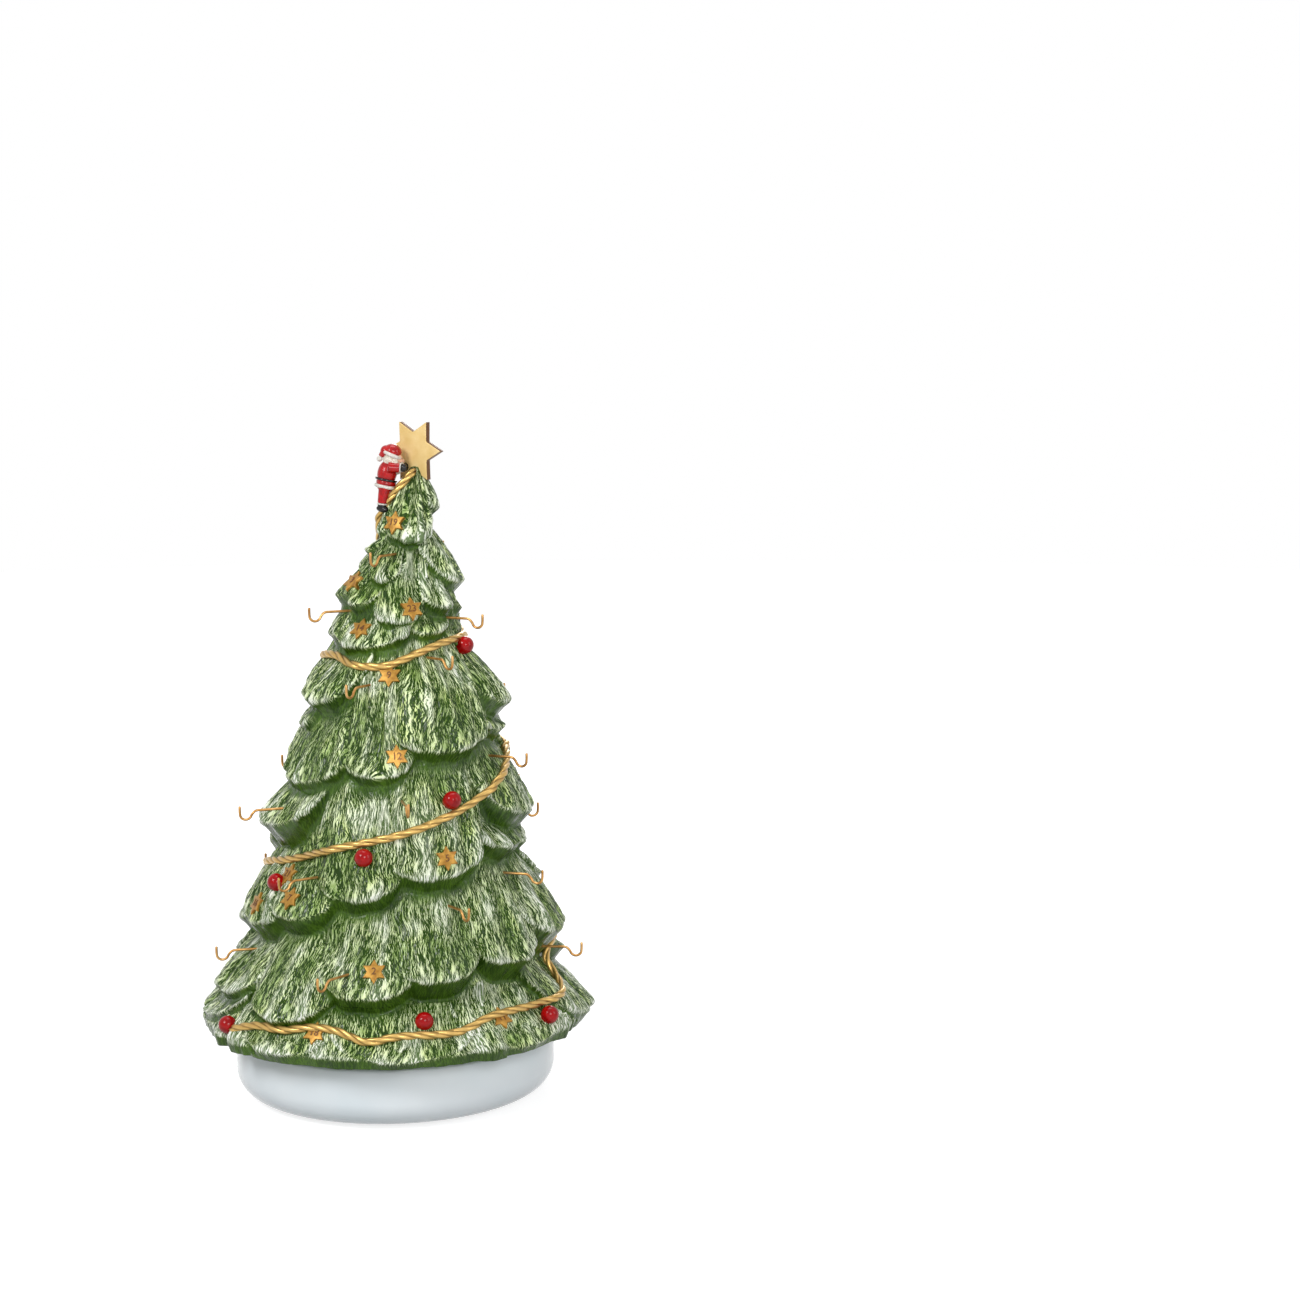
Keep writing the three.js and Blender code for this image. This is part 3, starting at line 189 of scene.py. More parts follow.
# The tree's skin is made in bands, so that no mesh grows too large:
# first and last row of each, and its columns. The rows count from the underside to the tip.
SKIN_ROWS = 616
SKIN_BANDS = [
    (0, 60, 1300), (60, 125, 1240), (125, 195, 1160), (195, 270, 1060),
    (270, 355, 960), (355, 450, 820), (450, 616, 520),
]
BAND_OVERLAP = 0.8
BAND_TUCK = 0.5
TIP_FADE = 30.0
WALL_ROWS, TIP_WALL_ROWS, TIP_WALL_TOP, TIP_HOLLOW_END, FOOT_TOP = 7, 9, 350.0, 355.0, 5.0

# Folds and needles of the skin
FOLD_WANDER = 4.0
NEEDLE_DRIFT = 14.0
RIB_SIZE = (4.2, 30.0)
DRAPE_SIZE = (11.0, 70.0)
RIM_WIDTH = 2.4
CALM_RADII = (6.5, 13.0)
SHADE_DEPTHS = (6.0, 26.0)
SHADE_OVERHANG = 5.0
SHADE_SIDE_LIMIT = 1.2
NEEDLE_TAPER = (0.12, 0.62)
# Width and unevenness of the dark band under a branch edge: pooled glaze and painted shade
POOL_AND_SHADE_WIDTH, POOL_AND_SHADE_UNEVENNESS = 2.4, 1.6
PATCH_SIZE, CLOUD_SIZE = (13, 13, 30), 45
CHANCES = 64

# Seeds of the random patterns
WANDER_SEED, DRIFT_SEED, FOLD_SEED, NEEDLE_SEED, PATCH_SEED = 1, 2, 3, 5, 6
FINE_DRIFT_SEED, RIB_SEED, CLOUD_SEED, DRAPE_SEED = 7, 8, 9, 10


class AdventTreeSkin(bpy.types.PropertyGroup):
    """Needles and glaze of the tree"""

    needle_pitch: bpy.props.FloatProperty(
        name="Needle pitch", description="Distance from one needle to the next",
        default=1.9 * MM, min=1.2 * MM, max=5 * MM, unit="LENGTH")
    needle_length: bpy.props.FloatProperty(
        name="Needle length", description="Length of one needle",
        default=11 * MM, min=3 * MM, max=20 * MM, unit="LENGTH")
    needle_height: bpy.props.FloatProperty(
        name="Needle height", description="How far a needle stands out",
        default=0.5 * MM, min=0, max=1.5 * MM, unit="LENGTH")
    drape_height: bpy.props.FloatProperty(
        name="Drape height", description="How far the wide drapes of a branch stand out",
        default=2.2 * MM, min=0, max=3 * MM, unit="LENGTH")
    rib_height: bpy.props.FloatProperty(
        name="Rib height", description="How far the ribs between the folds stand out",
        default=0.9 * MM, min=0, max=2 * MM, unit="LENGTH")
    deep_green: bpy.props.FloatVectorProperty(
        name="Deep green", description="Glaze where it pools between the needles",
        default=(0.018, 0.050, 0.003), min=0, max=1, subtype="COLOR")
    middle_green: bpy.props.FloatVectorProperty(
        name="Middle green", description="Glaze on most of the needles",
        default=(0.070, 0.160, 0.008), min=0, max=1, subtype="COLOR")
    # Thin glaze on the needle backs, and a painted glint at the palest end of the glaze ramp
    pale_green: bpy.props.FloatVectorProperty(
        name="Pale green", description="Thin glaze over the backs of the needles",
        default=(0.72, 0.82, 0.48), min=0, max=1, subtype="COLOR")
    # This white is also painted highlight on the ridges and drapes of the branches
    frost: bpy.props.FloatVectorProperty(
        name="Frost", description="White porcelain that shows where the glaze ran off",
        default=(0.94, 0.97, 0.87), min=0, max=1, subtype="COLOR")


class AdventTreeTrim(bpy.types.PropertyGroup):
    """Rope, balls, stars and hooks"""

    ball_radius: bpy.props.FloatProperty(
        name="Ball radius", description="Radius of a red ball",
        default=6.2 * MM, min=4 * MM, max=8 * MM, unit="LENGTH")
    strand_radius: bpy.props.FloatProperty(
        name="Strand radius", description="Radius of one of the rope's three strands",
        default=1.8 * MM, min=1 * MM, max=2.4 * MM, unit="LENGTH")
    rope_lay: bpy.props.FloatProperty(
        name="Rope lay", description="Length in which a strand goes once round the rope",
        default=34 * MM, min=10 * MM, max=60 * MM, unit="LENGTH")
    gold: bpy.props.FloatVectorProperty(
        name="Gold", description="Gold lustre of the rope",
        default=(0.34, 0.205, 0.055), min=0, max=1, subtype="COLOR")
    star_gold: bpy.props.FloatVectorProperty(
        name="Star gold", description="Gold of the numbered stars",
        default=(0.37, 0.19, 0.026), min=0, max=1, subtype="COLOR")
    ball_red: bpy.props.FloatVectorProperty(
        name="Ball red", description="Glaze of the balls",
        default=(0.36, 0.001, 0.002), min=0, max=1, subtype="COLOR")


class AdventTreeFigure(bpy.types.PropertyGroup):
    """Colours of the climbing figure"""

    coat: bpy.props.FloatVectorProperty(
        name="Coat", description="Red of coat, hat and trousers",
        default=(0.50, 0.003, 0.005), min=0, max=1, subtype="COLOR")
    fur: bpy.props.FloatVectorProperty(
        name="Fur", description="Fur trims",
        default=(0.80, 0.78, 0.74), min=0, max=1, subtype="COLOR")
    skin: bpy.props.FloatVectorProperty(
        name="Skin", description="Painted face",
        default=(0.78, 0.49, 0.36), min=0, max=1, subtype="COLOR")


class AdventTreeStage(bpy.types.PropertyGroup):
    """Light and floor of the picture"""

    key_power: bpy.props.FloatProperty(
        name="Key lamp", description="Power of the lamp high on the left",
        default=16.5, min=0, max=100, unit="POWER")
    fill_power: bpy.props.FloatProperty(
        name="Fill lamp", description="Power of the lamp on the right",
        default=4.0, min=0, max=100, unit="POWER")
    top_power: bpy.props.FloatProperty(
        name="Top lamp", description="Power of the lamp overhead",
        default=7.0, min=0, max=100, unit="POWER")
    front_power: bpy.props.FloatProperty(
        name="Front lamp", description="Power of the lamp beside the camera",
        default=9.0, min=0, max=100, unit="POWER")
    back_power: bpy.props.FloatProperty(
        name="Back lamp", description="Power of the lamp behind the tree",
        default=6.0, min=0, max=100, unit="POWER")
    room_light: bpy.props.FloatProperty(
        name="Room light", description="Strength of the even light from all round",
        default=0.26, min=0, max=2)


# Shared tools

def deselect_all():
    """Leaves object mode with nothing selected."""
    if bpy.context.object and bpy.context.object.mode != "OBJECT":
        bpy.ops.object.mode_set(mode="OBJECT")
    bpy.ops.object.select_all(action="DESELECT")


def activate(piece):
    """Makes a piece the only one selected."""
    deselect_all()
    piece.select_set(True)
    bpy.context.view_layer.objects.active = piece


def apply_place(piece):
    """Puts the piece's place into its mesh."""
    activate(piece)
    bpy.ops.object.transform_apply(location=True, rotation=True, scale=True)


def apply_modifier(piece, kind, **settings):
    """Adds a modifier, sets it and applies it."""
    activate(piece)
    bpy.ops.object.modifier_add(type=kind)
    modifier = piece.modifiers[-1]
    for key, value in settings.items():
        setattr(modifier, key, value)
    bpy.ops.object.modifier_apply(modifier=modifier.name)


def edit_all(piece, *steps):
    """Runs edit-mode operators on the whole of a piece, one after the other."""
    activate(piece)
    bpy.ops.object.mode_set(mode="EDIT")
    for step in steps:
        bpy.ops.mesh.select_all(action="SELECT")
        step()
    bpy.ops.object.mode_set(mode="OBJECT")


def face_outwards():
    """In edit mode, turns the selected faces outwards."""
    bpy.ops.mesh.normals_make_consistent(inside=False)


def copy_of(model):
    """A copy of a piece, with its own mesh."""
    piece = model.copy()
    piece.data = model.data.copy()
    bpy.context.collection.objects.link(piece)
    return piece


def add_mask(piece, label, values):
    """Stores a value at each point of a piece, for its material to read."""
    layer = piece.data.attributes.new(label, "FLOAT", "POINT")
    layer.data.foreach_set("value", values.ravel().astype(np.float32))


def finish_piece(piece, name, body, material, replaced=()):
    """Names a piece, gives it its material and ties it to its body and its CAD nodes."""
    piece.name = name
    piece.data.name = name
    if material is not None:
        piece.data.materials.clear()
        piece.data.materials.append(material)
    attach(piece, body)
    if replaced:
        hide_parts(*replaced)
    return piece


def smooth(piece, degrees=40.0):
    """Smooth shading, with edges sharper than an angle kept."""
    activate(piece)
    bpy.ops.object.shade_smooth_by_angle(angle=math.radians(degrees))


def clamp(value, low=0.0, high=1.0):
    """The value, held between two limits."""
    return np.minimum(np.maximum(value, low), high)


def smoothstep(value, low, high):
    """0 up to the low value and 1 from the high one, with a smooth rise between them."""
    share = clamp((value - low) / (high - low))
    return share * share * (3 - 2 * share)


def noise(points, cell, seed):
    """Smooth noise from 0 to 1 at points in millimetres, one random value for each cell."""
    size = 32
    lattice = np.random.default_rng(seed).random((size, size, size))
    scaled = np.asarray(points) / cell
    low = np.floor(scaled).astype(int)
    share = scaled - low
    share = share * share * (3 - 2 * share)
    total = 0
    for corner in range(8):
        step = np.array([corner & 1, corner >> 1 & 1, corner >> 2 & 1])
        weight = np.prod(np.where(step == 1, share, 1 - share), axis=-1)
        place = (low + step) % size
        total = total + weight * lattice[place[..., 0], place[..., 1], place[..., 2]]
    return total


# The shape of the tree

def lean_at(height):
    """Sideways lean of the middle of the tree."""
    lower = LOWER_LEAN * clamp(height / LOWER_LEAN_HEIGHT)
    tip = clamp((height - TIP_LEAN_START) / (TREE_HEIGHT - TIP_LEAN_START))
    return lower + TIP_LEAN * tip ** TIP_LEAN_POWER


def core_radius(height):
    """Radius of the trunk of needles."""
    return np.interp(height, CORE_PROFILE[:, 0], CORE_PROFILE[:, 1])


def soft_maximum(first, second, blend):
    """The larger of two values, rounded over where they are within blend of each other."""
    share = clamp(0.5 + 0.5 * (first - second) / blend)
    return second + (first - second) * share + blend * share * (1 - share)


def soft_minimum(first, second, blend):
    """The smaller of two values, rounded off in the same way."""
    return -soft_maximum(-first, -second, blend)


def section_radius(height, edge, reach, slope, start, undercut):
    """A branch seen from its side: its back above the edge, and its undercut below."""
    above = height - edge
    climb = clamp(above / (start - edge))
    bulge = BRANCH_BULGE * (start - edge) * 4 * climb * (1 - climb)
    return soft_minimum(reach - slope * above + bulge, reach + undercut * above, EDGE_ROUNDING)


def branch_table():
    """Azimuth, half width, tip height, reach, start, slope, rise, fall, turn of a fold and its shift
    for each branch, and last for the rim."""
    azimuth, half, tip, reach, start = BRANCHES.T
    slope = (reach - core_radius(start)) / (start - tip)
    rise = EDGE_RISE * np.radians(half) * reach
    fall = EDGE_FALL * (reach - core_radius(tip))
    turn = np.where(reach < WIDE_FOLD_REACH, WIDE_FOLD_TURN, FOLD_TURN)
    shift = np.arange(len(BRANCHES)) % 2 / 2
    rows = np.stack([azimuth, half, tip, reach, start, slope, rise, fall, turn, shift], axis=1)
    rim_slope = (RIM_REACH - core_radius(RIM_TOP)) / (RIM_TOP - RIM_HEIGHT)
    rim = [0, 180, RIM_HEIGHT, RIM_REACH, RIM_TOP, rim_slope, 0, 0, FOLD_TURN, 0]
    return np.vstack([rows, rim])


TABLE = branch_table()


def turn_from(azimuth, middle):
    """Degrees from one azimuth to another, the short way round."""
    return (azimuth - middle + 180) % 360 - 180


def on_drum(azimuth, height):
    """Places on an upright drum, where noise runs on round the tree without a seam."""
    angle = np.radians(azimuth)
    x, y = NOISE_DRUM_RADIUS * np.sin(angle), NOISE_DRUM_RADIUS * np.cos(angle)
    return np.stack(np.broadcast_arrays(x, y, height), axis=-1)


def wandered(azimuth, height):
    """The azimuth as the folds see it, so that their ridges don't run quite straight."""
    return azimuth + FOLD_WANDER * (noise(on_drum(azimuth, height), (24, 24, 40), WANDER_SEED) - 0.5)


def fold_share(azimuth, height):
    """0 where the skin lies flat round a numbered star, and 1 away from all of them."""
    share = np.ones(azimuth.shape)
    for star_azimuth, star_height, _ in NUMBER_STARS:
        across = np.radians(turn_from(azimuth, star_azimuth)) * core_radius(height)
        share = np.minimum(share, smoothstep(np.hypot(across, height - star_height), *STAR_CALM))
    return share


def fold_lift(azimuth, climb, turn, shift):
    """How far a fold lifts the back of a branch, from its ridge out to its crease."""
    fold = azimuth / turn + shift
    off_ridge = 2 * np.abs(fold - np.round(fold))
    size = FOLD_HEIGHT * (FOLD_EDGE_SHARE + FOLD_SWELL * climb) * (1 - climb) ** FOLD_FADE
    return size * (0.5 - off_ridge ** CREASE_SHARPNESS)


def skin(azimuth, height):
    """Radius of the tree's outside at each place, and the branch that the place belongs to."""
    azimuth, height = np.broadcast_arrays(np.asarray(azimuth, float), np.asarray(height, float))
    shape = azimuth.shape
    azimuth, height = azimuth.ravel(), height.ravel()
    rim_edge, rim_reach, rim_top, rim_slope = TABLE[-1, 2:6]
    rim = section_radius(height, rim_edge, rim_reach, rim_slope, rim_top, RIM_UNDERCUT)
    radius = soft_maximum(core_radius(height), rim, BRANCH_BLEND)
    largest = radius - BRANCH_BLEND
    owner = np.full(radius.shape, len(TABLE) - 1)
    uneven = FOLD_EVENNESS + FOLD_UNEVENNESS * noise(on_drum(azimuth, height), 28, FOLD_SEED)
    folding = fold_share(azimuth, height) * uneven
    folded = wandered(azimuth, height)
    for index, (middle, half, tip, reach, start, slope, rise, fall, turn, shift) in enumerate(TABLE[:-1]):
        across = np.abs(turn_from(azimuth, middle)) / half
        near = (across <= BRANCH_SIDE_LIMIT) & (height > tip - reach) & (height < start + 3 * rise)
        if not near.any():
            continue
        spread = (across[near] ** 2 + across[near] ** 4) / 2
        edge, top = tip + rise * spread, start + rise * spread
        climb = clamp((height[near] - edge) / (top - edge))
        lift = folding[near] * fold_lift(folded[near], climb, turn, shift)
        own = section_radius(height[near], edge, reach - fall * spread + lift, slope, top, UNDERCUT)
        radius[near] = soft_maximum(radius[near], own, BRANCH_BLEND)
        better = own > largest[near]
        largest[near] = np.where(better, own, largest[near])
        owner[near] = np.where(better, index, owner[near])
    return radius.reshape(shape), owner.reshape(shape)


def tree_point(azimuth, height, radius):
    """Place at an azimuth, height and radius, in millimetres above the table."""
    angle = np.radians(azimuth)
    x = lean_at(height) + radius * np.sin(angle)
    y = -radius * np.cos(angle)
    return np.stack(np.broadcast_arrays(x, y, UNDERSIDE + height), axis=-1)


def skin_point(azimuth, height):
    """Place on the smooth skin."""
    return tree_point(azimuth, height, skin(azimuth, height)[0])


def skin_normal(azimuth, height, span):
    """Outward direction of the smooth skin, measured over a span of degrees and millimetres."""
    around = skin_point(azimuth + span, height) - skin_point(azimuth - span, height)
    upward = skin_point(azimuth, height + span) - skin_point(azimuth, height - span)
    outward = np.cross(around, upward)
    return outward / np.linalg.norm(outward, axis=-1, keepdims=True)


def branch_place(owner, azimuth, height):
    """Where a place lies on its branch: its fold, down the branch from its edge, and above the edge."""
    middle, half, tip, _, _, slope, rise, _, turn, shift = TABLE[owner].transpose((-1, *range(owner.ndim)))
    across = turn_from(azimuth, middle) / half
    above = height - tip - rise * (across ** 2 + across ** 4) / 2
    return wandered(azimuth, height) / turn + shift, -above * np.sqrt(1 + slope ** 2), above


def needles_across(owner, azimuth, height, start):
    """Distance across the needles, which drift to and fro on their way down. Start is an azimuth close by."""
    turned = turn_from(start, TABLE[owner, 0]) + turn_from(azimuth, start)
    drum = on_drum(azimuth, height)
    drift = noise(drum, 27, DRIFT_SEED) - 0.5 + 0.3 * (noise(drum, 10, FINE_DRIFT_SEED) - 0.5)
    return np.radians(turned) * TABLE[owner, 3] + NEEDLE_DRIFT * drift


def shade_of_branches(azimuth, height, radius):
    """1 close under the edge of a branch that hangs over the skin, and 0 out in the open."""
    shape = radius.shape
    azimuth, height, radius = azimuth.ravel(), height.ravel(), radius.ravel()
    shade = np.zeros(radius.shape)
    for middle, half, tip, reach, _, _, rise, fall, _, _ in TABLE[:-1]:
        across = np.abs(turn_from(azimuth, middle)) / half
        near = (across <= SHADE_SIDE_LIMIT) & (height > tip - SHADE_DEPTHS[1]) & (height < tip + 2 * rise)
        spread = (across[near] ** 2 + across[near] ** 4) / 2
        below = tip + rise * spread - height[near]
        hanging = smoothstep(reach - fall * spread - radius[near], 0, SHADE_OVERHANG) * (below > 0)
        shade[near] = np.maximum(shade[near], hanging * (1 - smoothstep(below, *SHADE_DEPTHS)))
    return shade.reshape(shape)


def calm_near_stars(points):
    """0 where a numbered star lies flat on the skin, and 1 away from all of them."""
    calm = np.ones(points.shape[:-1])
    for azimuth, height, _ in NUMBER_STARS:
        distance = np.linalg.norm(points - skin_point(azimuth, height), axis=-1)
        calm = np.minimum(calm, smoothstep(distance, *CALM_RADII))
    return calm


def needle_backs(across, along, owner, settings):
    """The rounded back of each needle, from 0 between the needles up to 1 on the strongest of them."""
    pitch, length = settings.needle_pitch / MM, settings.needle_length / MM
    row = np.floor(across / pitch).astype(int)
    chance = np.random.default_rng(NEEDLE_SEED).random((CHANCES, CHANCES))
    shifted = along / length + chance[row % CHANCES, owner % CHANCES]
    place = np.floor(shifted).astype(int)
    through = shifted - place
    strength = chance[(row * 5 + place * 3) % CHANCES, (place * 11 + row) % CHANCES]
    round_back = np.sin(np.pi * (across / pitch - row)) ** 0.8
    taper = smoothstep(through, 0, NEEDLE_TAPER[0]) * (1 - smoothstep(through, NEEDLE_TAPER[1], 1))
    return round_back * taper * (0.35 + 0.65 * strength)


def relief(points, azimuth, height, radius, owner, settings):
    """How far the skin stands out from its folded shape, and the masks that colour its glaze: the backs of
    the needles, the white where the glaze ran off with painted highlight on ridges and painted shade in
    creases, and the band under the edges of the branches, where glaze pools and painted shade darkens it."""
    fold, along, above = branch_place(owner, azimuth, height)
    off_ridge = 2 * np.abs(fold - np.round(fold))
    calm = calm_near_stars(points)
    across = needles_across(owner, azimuth, height, azimuth)
    shade = shade_of_branches(azimuth, height, radius)
    # Drapes and finer ribs of unequal width that run down with the needles, from -1 to 1
    drape, rib = [2 * noise(np.stack([across / wide, along / long, owner * 3.7], axis=-1), 1, seed) - 1
                  for (wide, long), seed in ((DRAPE_SIZE, DRAPE_SEED), (RIB_SIZE, RIB_SEED))]
    rib_lift = (settings.drape_height * drape + settings.rib_height * rib) / MM * (1 - 0.7 * shade)

    needle = needle_backs(across, along, owner, settings)
    # The band: glaze that pools under a branch's edge, and painted shade where a branch hangs over the skin
    # below it
    band = smoothstep(-above - 0.4 + POOL_AND_SHADE_UNEVENNESS * (needle - 0.4), -0.4, POOL_AND_SHADE_WIDTH)
    band = np.maximum(band, smoothstep(shade + 0.25 * (needle - 0.4), 0.2, 0.8))
    needle = needle * (1 - 0.7 * band)
    needle_lift = settings.needle_height / MM * (needle - 0.3) * (0.5 + 0.5 * calm)

    # White lies on ridges, edges and drapes, in clouds, and less of it towards the tip: where the glaze ran
    # off, and as painted highlight on the ridges and drapes, with painted shade in the creases where the mask
    # goes below 0
    edge = np.exp(-clamp(above, 0, 60) / RIM_WIDTH) * (1 - band)
    patches = noise(points, PATCH_SIZE, PATCH_SEED)
    cloud = patches + 0.3 * noise(points, CLOUD_SIZE, CLOUD_SEED) - 0.6 - 0.18 * height / TREE_HEIGHT
    frost = 0.8 * (0.32 - off_ridge) + 0.8 * edge + 1.8 * cloud + 0.5 * drape + 0.25 * rib
    frost = clamp(frost, -0.6) * (1 - band)
    return rib_lift * calm + needle_lift, needle, frost, band


def placed_on_skin(azimuth, height, settings):
    """How far the relief lifts the skin at single places, for what lies on it."""
    radius, owner = skin(azimuth, height)
    points = tree_point(azimuth, height, radius)
    return relief(points, azimuth, height, radius, owner, settings)[0]


def add_grid(points):
    """A sheet of faces through rows of points in millimetres."""
    rows, columns = points.shape[:2]
    deselect_all()
    bpy.ops.mesh.primitive_grid_add(x_subdivisions=columns - 1, y_subdivisions=rows - 1, calc_uvs=False)
    piece = bpy.context.object
    piece.data.vertices.foreach_set("co", (points * MM).ravel())
    piece.data.update()
    return piece


def weld(piece):
    """Joins the points of a piece that lie on each other."""
    edit_all(piece, lambda: bpy.ops.mesh.remove_doubles(threshold=1e-6), bpy.ops.mesh.delete_loose)


def add_band(first, last, columns, settings):
    """A closed band of the skin: its outside going up, and its inner wall coming down."""
    step = (TREE_HEIGHT - SKIRT_FLOOR) / SKIN_ROWS
    rows = np.arange(first, last + 1)
    heights = SKIRT_FLOOR + rows * step
    azimuths = 360 * np.arange(columns) / columns
    wide = np.concatenate([[heights[0] - step], heights, [heights[-1] + step]])
    radius, owner = skin(azimuths[None, :], wide[:, None])
    points = tree_point(azimuths[None, :], wide[:, None], radius)
    around = np.roll(points, -1, axis=1) - np.roll(points, 1, axis=1)
    upward = points[2:] - points[:-2]
    outward = np.cross(around[1:-1], upward)
    outward /= np.linalg.norm(outward, axis=-1, keepdims=True)
    points, owner = points[1:-1], owner[1:-1]
    azimuth_grid, height_grid = np.broadcast_arrays(azimuths[None, :], heights[:, None])
    lift, needle, frost, band = relief(points, azimuth_grid, height_grid, radius[1:-1], owner, settings)
    is_tip = last == SKIN_ROWS
    if is_tip:
        lift = lift * smoothstep(TREE_HEIGHT - height_grid, 0, TIP_FADE)
    points = points + outward * lift[..., None]
    if is_tip:
        points[-1] = tree_point(0, TREE_HEIGHT, 0)
    if first > 0:
        points[0] = points[0] - outward[0] * BAND_TUCK - np.array([0, 0, BAND_OVERLAP])

    inner = inner_wall(azimuths, heights, is_tip, first == 0)
    loop = np.concatenate([points, inner])
    piece = add_grid(np.pad(loop, ((0, 1), (0, 1), (0, 0)), mode="wrap"))
    spare = np.zeros((len(inner), columns))
    for label, values, rest in (("needle", needle, 0), ("frost", frost, 0), ("band", band, 1)):
        add_mask(piece, label, np.pad(np.concatenate([values, spare + rest]), ((0, 1), (0, 1)), mode="wrap"))
    add_grain_map(piece.data, azimuths, np.concatenate([heights, spare[:, 0]]), owner)
    weld(piece)
    smooth(piece, 75)
    return piece


def inner_wall(azimuths, heights, is_tip, is_foot):
    """Rows of the inner wall from the top of a band down, with the foot ring under the lowest band."""
    levels = np.linspace(heights[-1], heights[0], WALL_ROWS)
    if is_tip:
        levels = np.linspace(TIP_WALL_TOP, heights[0], TIP_WALL_ROWS)
    rows = [tree_point(azimuths, level, np.full(len(azimuths), max(core_radius(level) - TREE_WALL, 1)))
            for level in levels]
    if is_tip:
        rows.insert(0, np.repeat(tree_point(0, TIP_HOLLOW_END, 0)[None, :], len(azimuths), axis=0))
    if is_foot:
        rows.pop()
        inside, outside = FOOT_RADII
        foot = [(inside, FOOT_TOP), (inside, FOOT_BOTTOM - UNDERSIDE), (outside, FOOT_BOTTOM - UNDERSIDE),
                (outside, 0.0), (SKIRT_RADIUS, 0.0)]
        rows += [tree_point(azimuths, level, np.full(len(azimuths), radius)) for radius, level in foot]
        for row, (_, level) in zip(rows[-len(foot):], foot):
            row[:, 0] -= lean_at(level)
    return np.array(rows)


def add_grain_map(mesh, azimuths, heights, owner):
    """A UV map in metres across and along the needles, joined up within each face only."""
    corners = np.empty(len(mesh.loops), np.int32)
    mesh.loops.foreach_get("vertex_index", corners)
    row, column = np.divmod(corners.reshape(-1, 4), len(azimuths) + 1)
    row, column = row % len(heights), column % len(azimuths)
    owners = owner[np.minimum(row[:, :1], owner.shape[0] - 1), column[:, :1]]
    owners = np.repeat(owners, 4, axis=1)
    _, along, _ = branch_place(owners, azimuths[column], heights[row])
    across = needles_across(owners, azimuths[column], heights[row], azimuths[column[:, :1]])
    grain = mesh.uv_layers.new(name="grain")
    grain.data.foreach_set("uv", (np.stack([across, along], axis=-1) * MM).ravel().astype(np.float32))


class ADVENT_TREE_OT_skin(bpy.types.Operator):
    """Builds the needled skin of the tree in its bands"""

    bl_idname = "advent_tree.skin"
    bl_label = "Tree skin"

    def execute(self, context):
        settings = context.scene.advent_tree_skin
        glaze = green_glaze(settings)
        for index, (first, last, columns) in enumerate(SKIN_BANDS):
            band = add_band(first, last, columns, settings)
            finish_piece(band, f"tree_skin_{index + 1:02d}", "tree", glaze, ["tree_shell"])
        return {"FINISHED"}


def add_tube(rings, masks=None):
    """A closed tube through rings of points in millimetres, with a cap at each end."""
    piece = add_grid(np.pad(rings, ((0, 0), (0, 1), (0, 0)), mode="wrap"))
    for label, values in (masks or {}).items():
        add_mask(piece, label, np.pad(values, ((0, 0), (0, 1)), mode="wrap"))
    weld(piece)
    edit_all(piece, lambda: bpy.ops.mesh.fill_holes(sides=0), face_outwards)
    return piece


def swept_rings(line, radii, sides, first, second):
    """Rings round a line, in the two directions given at each of its points."""
    angles = 2 * np.pi * np.arange(sides) / sides
    circle = (np.cos(angles)[None, :, None] * first[:, None, :]
              + np.sin(angles)[None, :, None] * second[:, None, :])
    return line[:, None, :] + circle * np.asarray(radii)[:, None, None]


def lengths_of(rows):
    """The length of each row of coordinates, in a column of its own."""
    return np.linalg.norm(rows, axis=-1, keepdims=True)


def curve_through(knots, samples):
    """A centripetal curve through a row of points, which it runs straight into and out of."""
    ends = (2 * knots[0] - knots[1], 2 * knots[-1] - knots[-2])
    padded = np.vstack([ends[0], knots, ends[1]])
    position = np.linspace(0, len(knots) - 1, samples + 1)
    segment = np.minimum(position.astype(int), len(knots) - 2)
    share = (position - segment)[:, None]
    before, start, end, after = (padded[segment + step] for step in range(4))
    gap_before, gap, gap_after = (
        lengths_of(b - a) ** 0.5 for a, b in ((before, start), (start, end), (end, after)))
    leave = gap * ((start - before) / gap_before - (end - before) / (gap_before + gap) + (end - start) / gap)
    arrive = gap * ((end - start) / gap - (after - start) / (gap + gap_after) + (after - end) / gap_after)
    return (start + leave * share + (3 * (end - start) - 2 * leave - arrive) * share ** 2
            + (2 * (start - end) + leave + arrive) * share ** 3)


def rolling_mean(values, reach):
    """Each value's mean with its neighbours on both sides, as many as reach says."""
    window = 2 * reach + 1
    return np.convolve(np.pad(values, reach, mode="edge"), np.ones(window) / window, mode="valid")


def rope_line(settings):
    """The middle of the rope, a point for each millimetre."""
    azimuth, height = curve_through(ROPE_PATH, ROPE_SAMPLES).T
    radius = skin(azimuth, height)[0]
    mean = rolling_mean(radius + placed_on_skin(azimuth, height, settings), ROPE_SMOOTHING)
    line = tree_point(azimuth, height, np.maximum(mean, radius) + ROPE_STAND)
    travelled = np.concatenate([[0], np.cumsum(lengths_of(np.diff(line, axis=0)))])
    even = np.arange(0, travelled[-1], 1.0)
    line = np.stack([np.interp(even, travelled, column) for column in line.T], axis=1)
    soft = np.stack([rolling_mean(column, ROPE_SOFTENING) for column in line.T], axis=1)
    soft[:ROPE_SOFTENING], soft[-ROPE_SOFTENING:] = line[:ROPE_SOFTENING], line[-ROPE_SOFTENING:]
    return soft


def directions_along(line):
    """The direction of a line at each of its points."""
    along = np.gradient(line, axis=0)
    return along / lengths_of(along)


def directions_off_the_tree(line):
    """At each point of a line on the tree, the way outwards that is square to it, and the way across it."""
    along = directions_along(line)
    outward = line.copy()
    outward[:, 0] -= lean_at(line[:, 2] - UNDERSIDE)
    outward[:, 2] = 0
    outward -= along * np.sum(outward * along, axis=1, keepdims=True)
    outward /= lengths_of(outward)
    return outward, np.cross(along, outward)


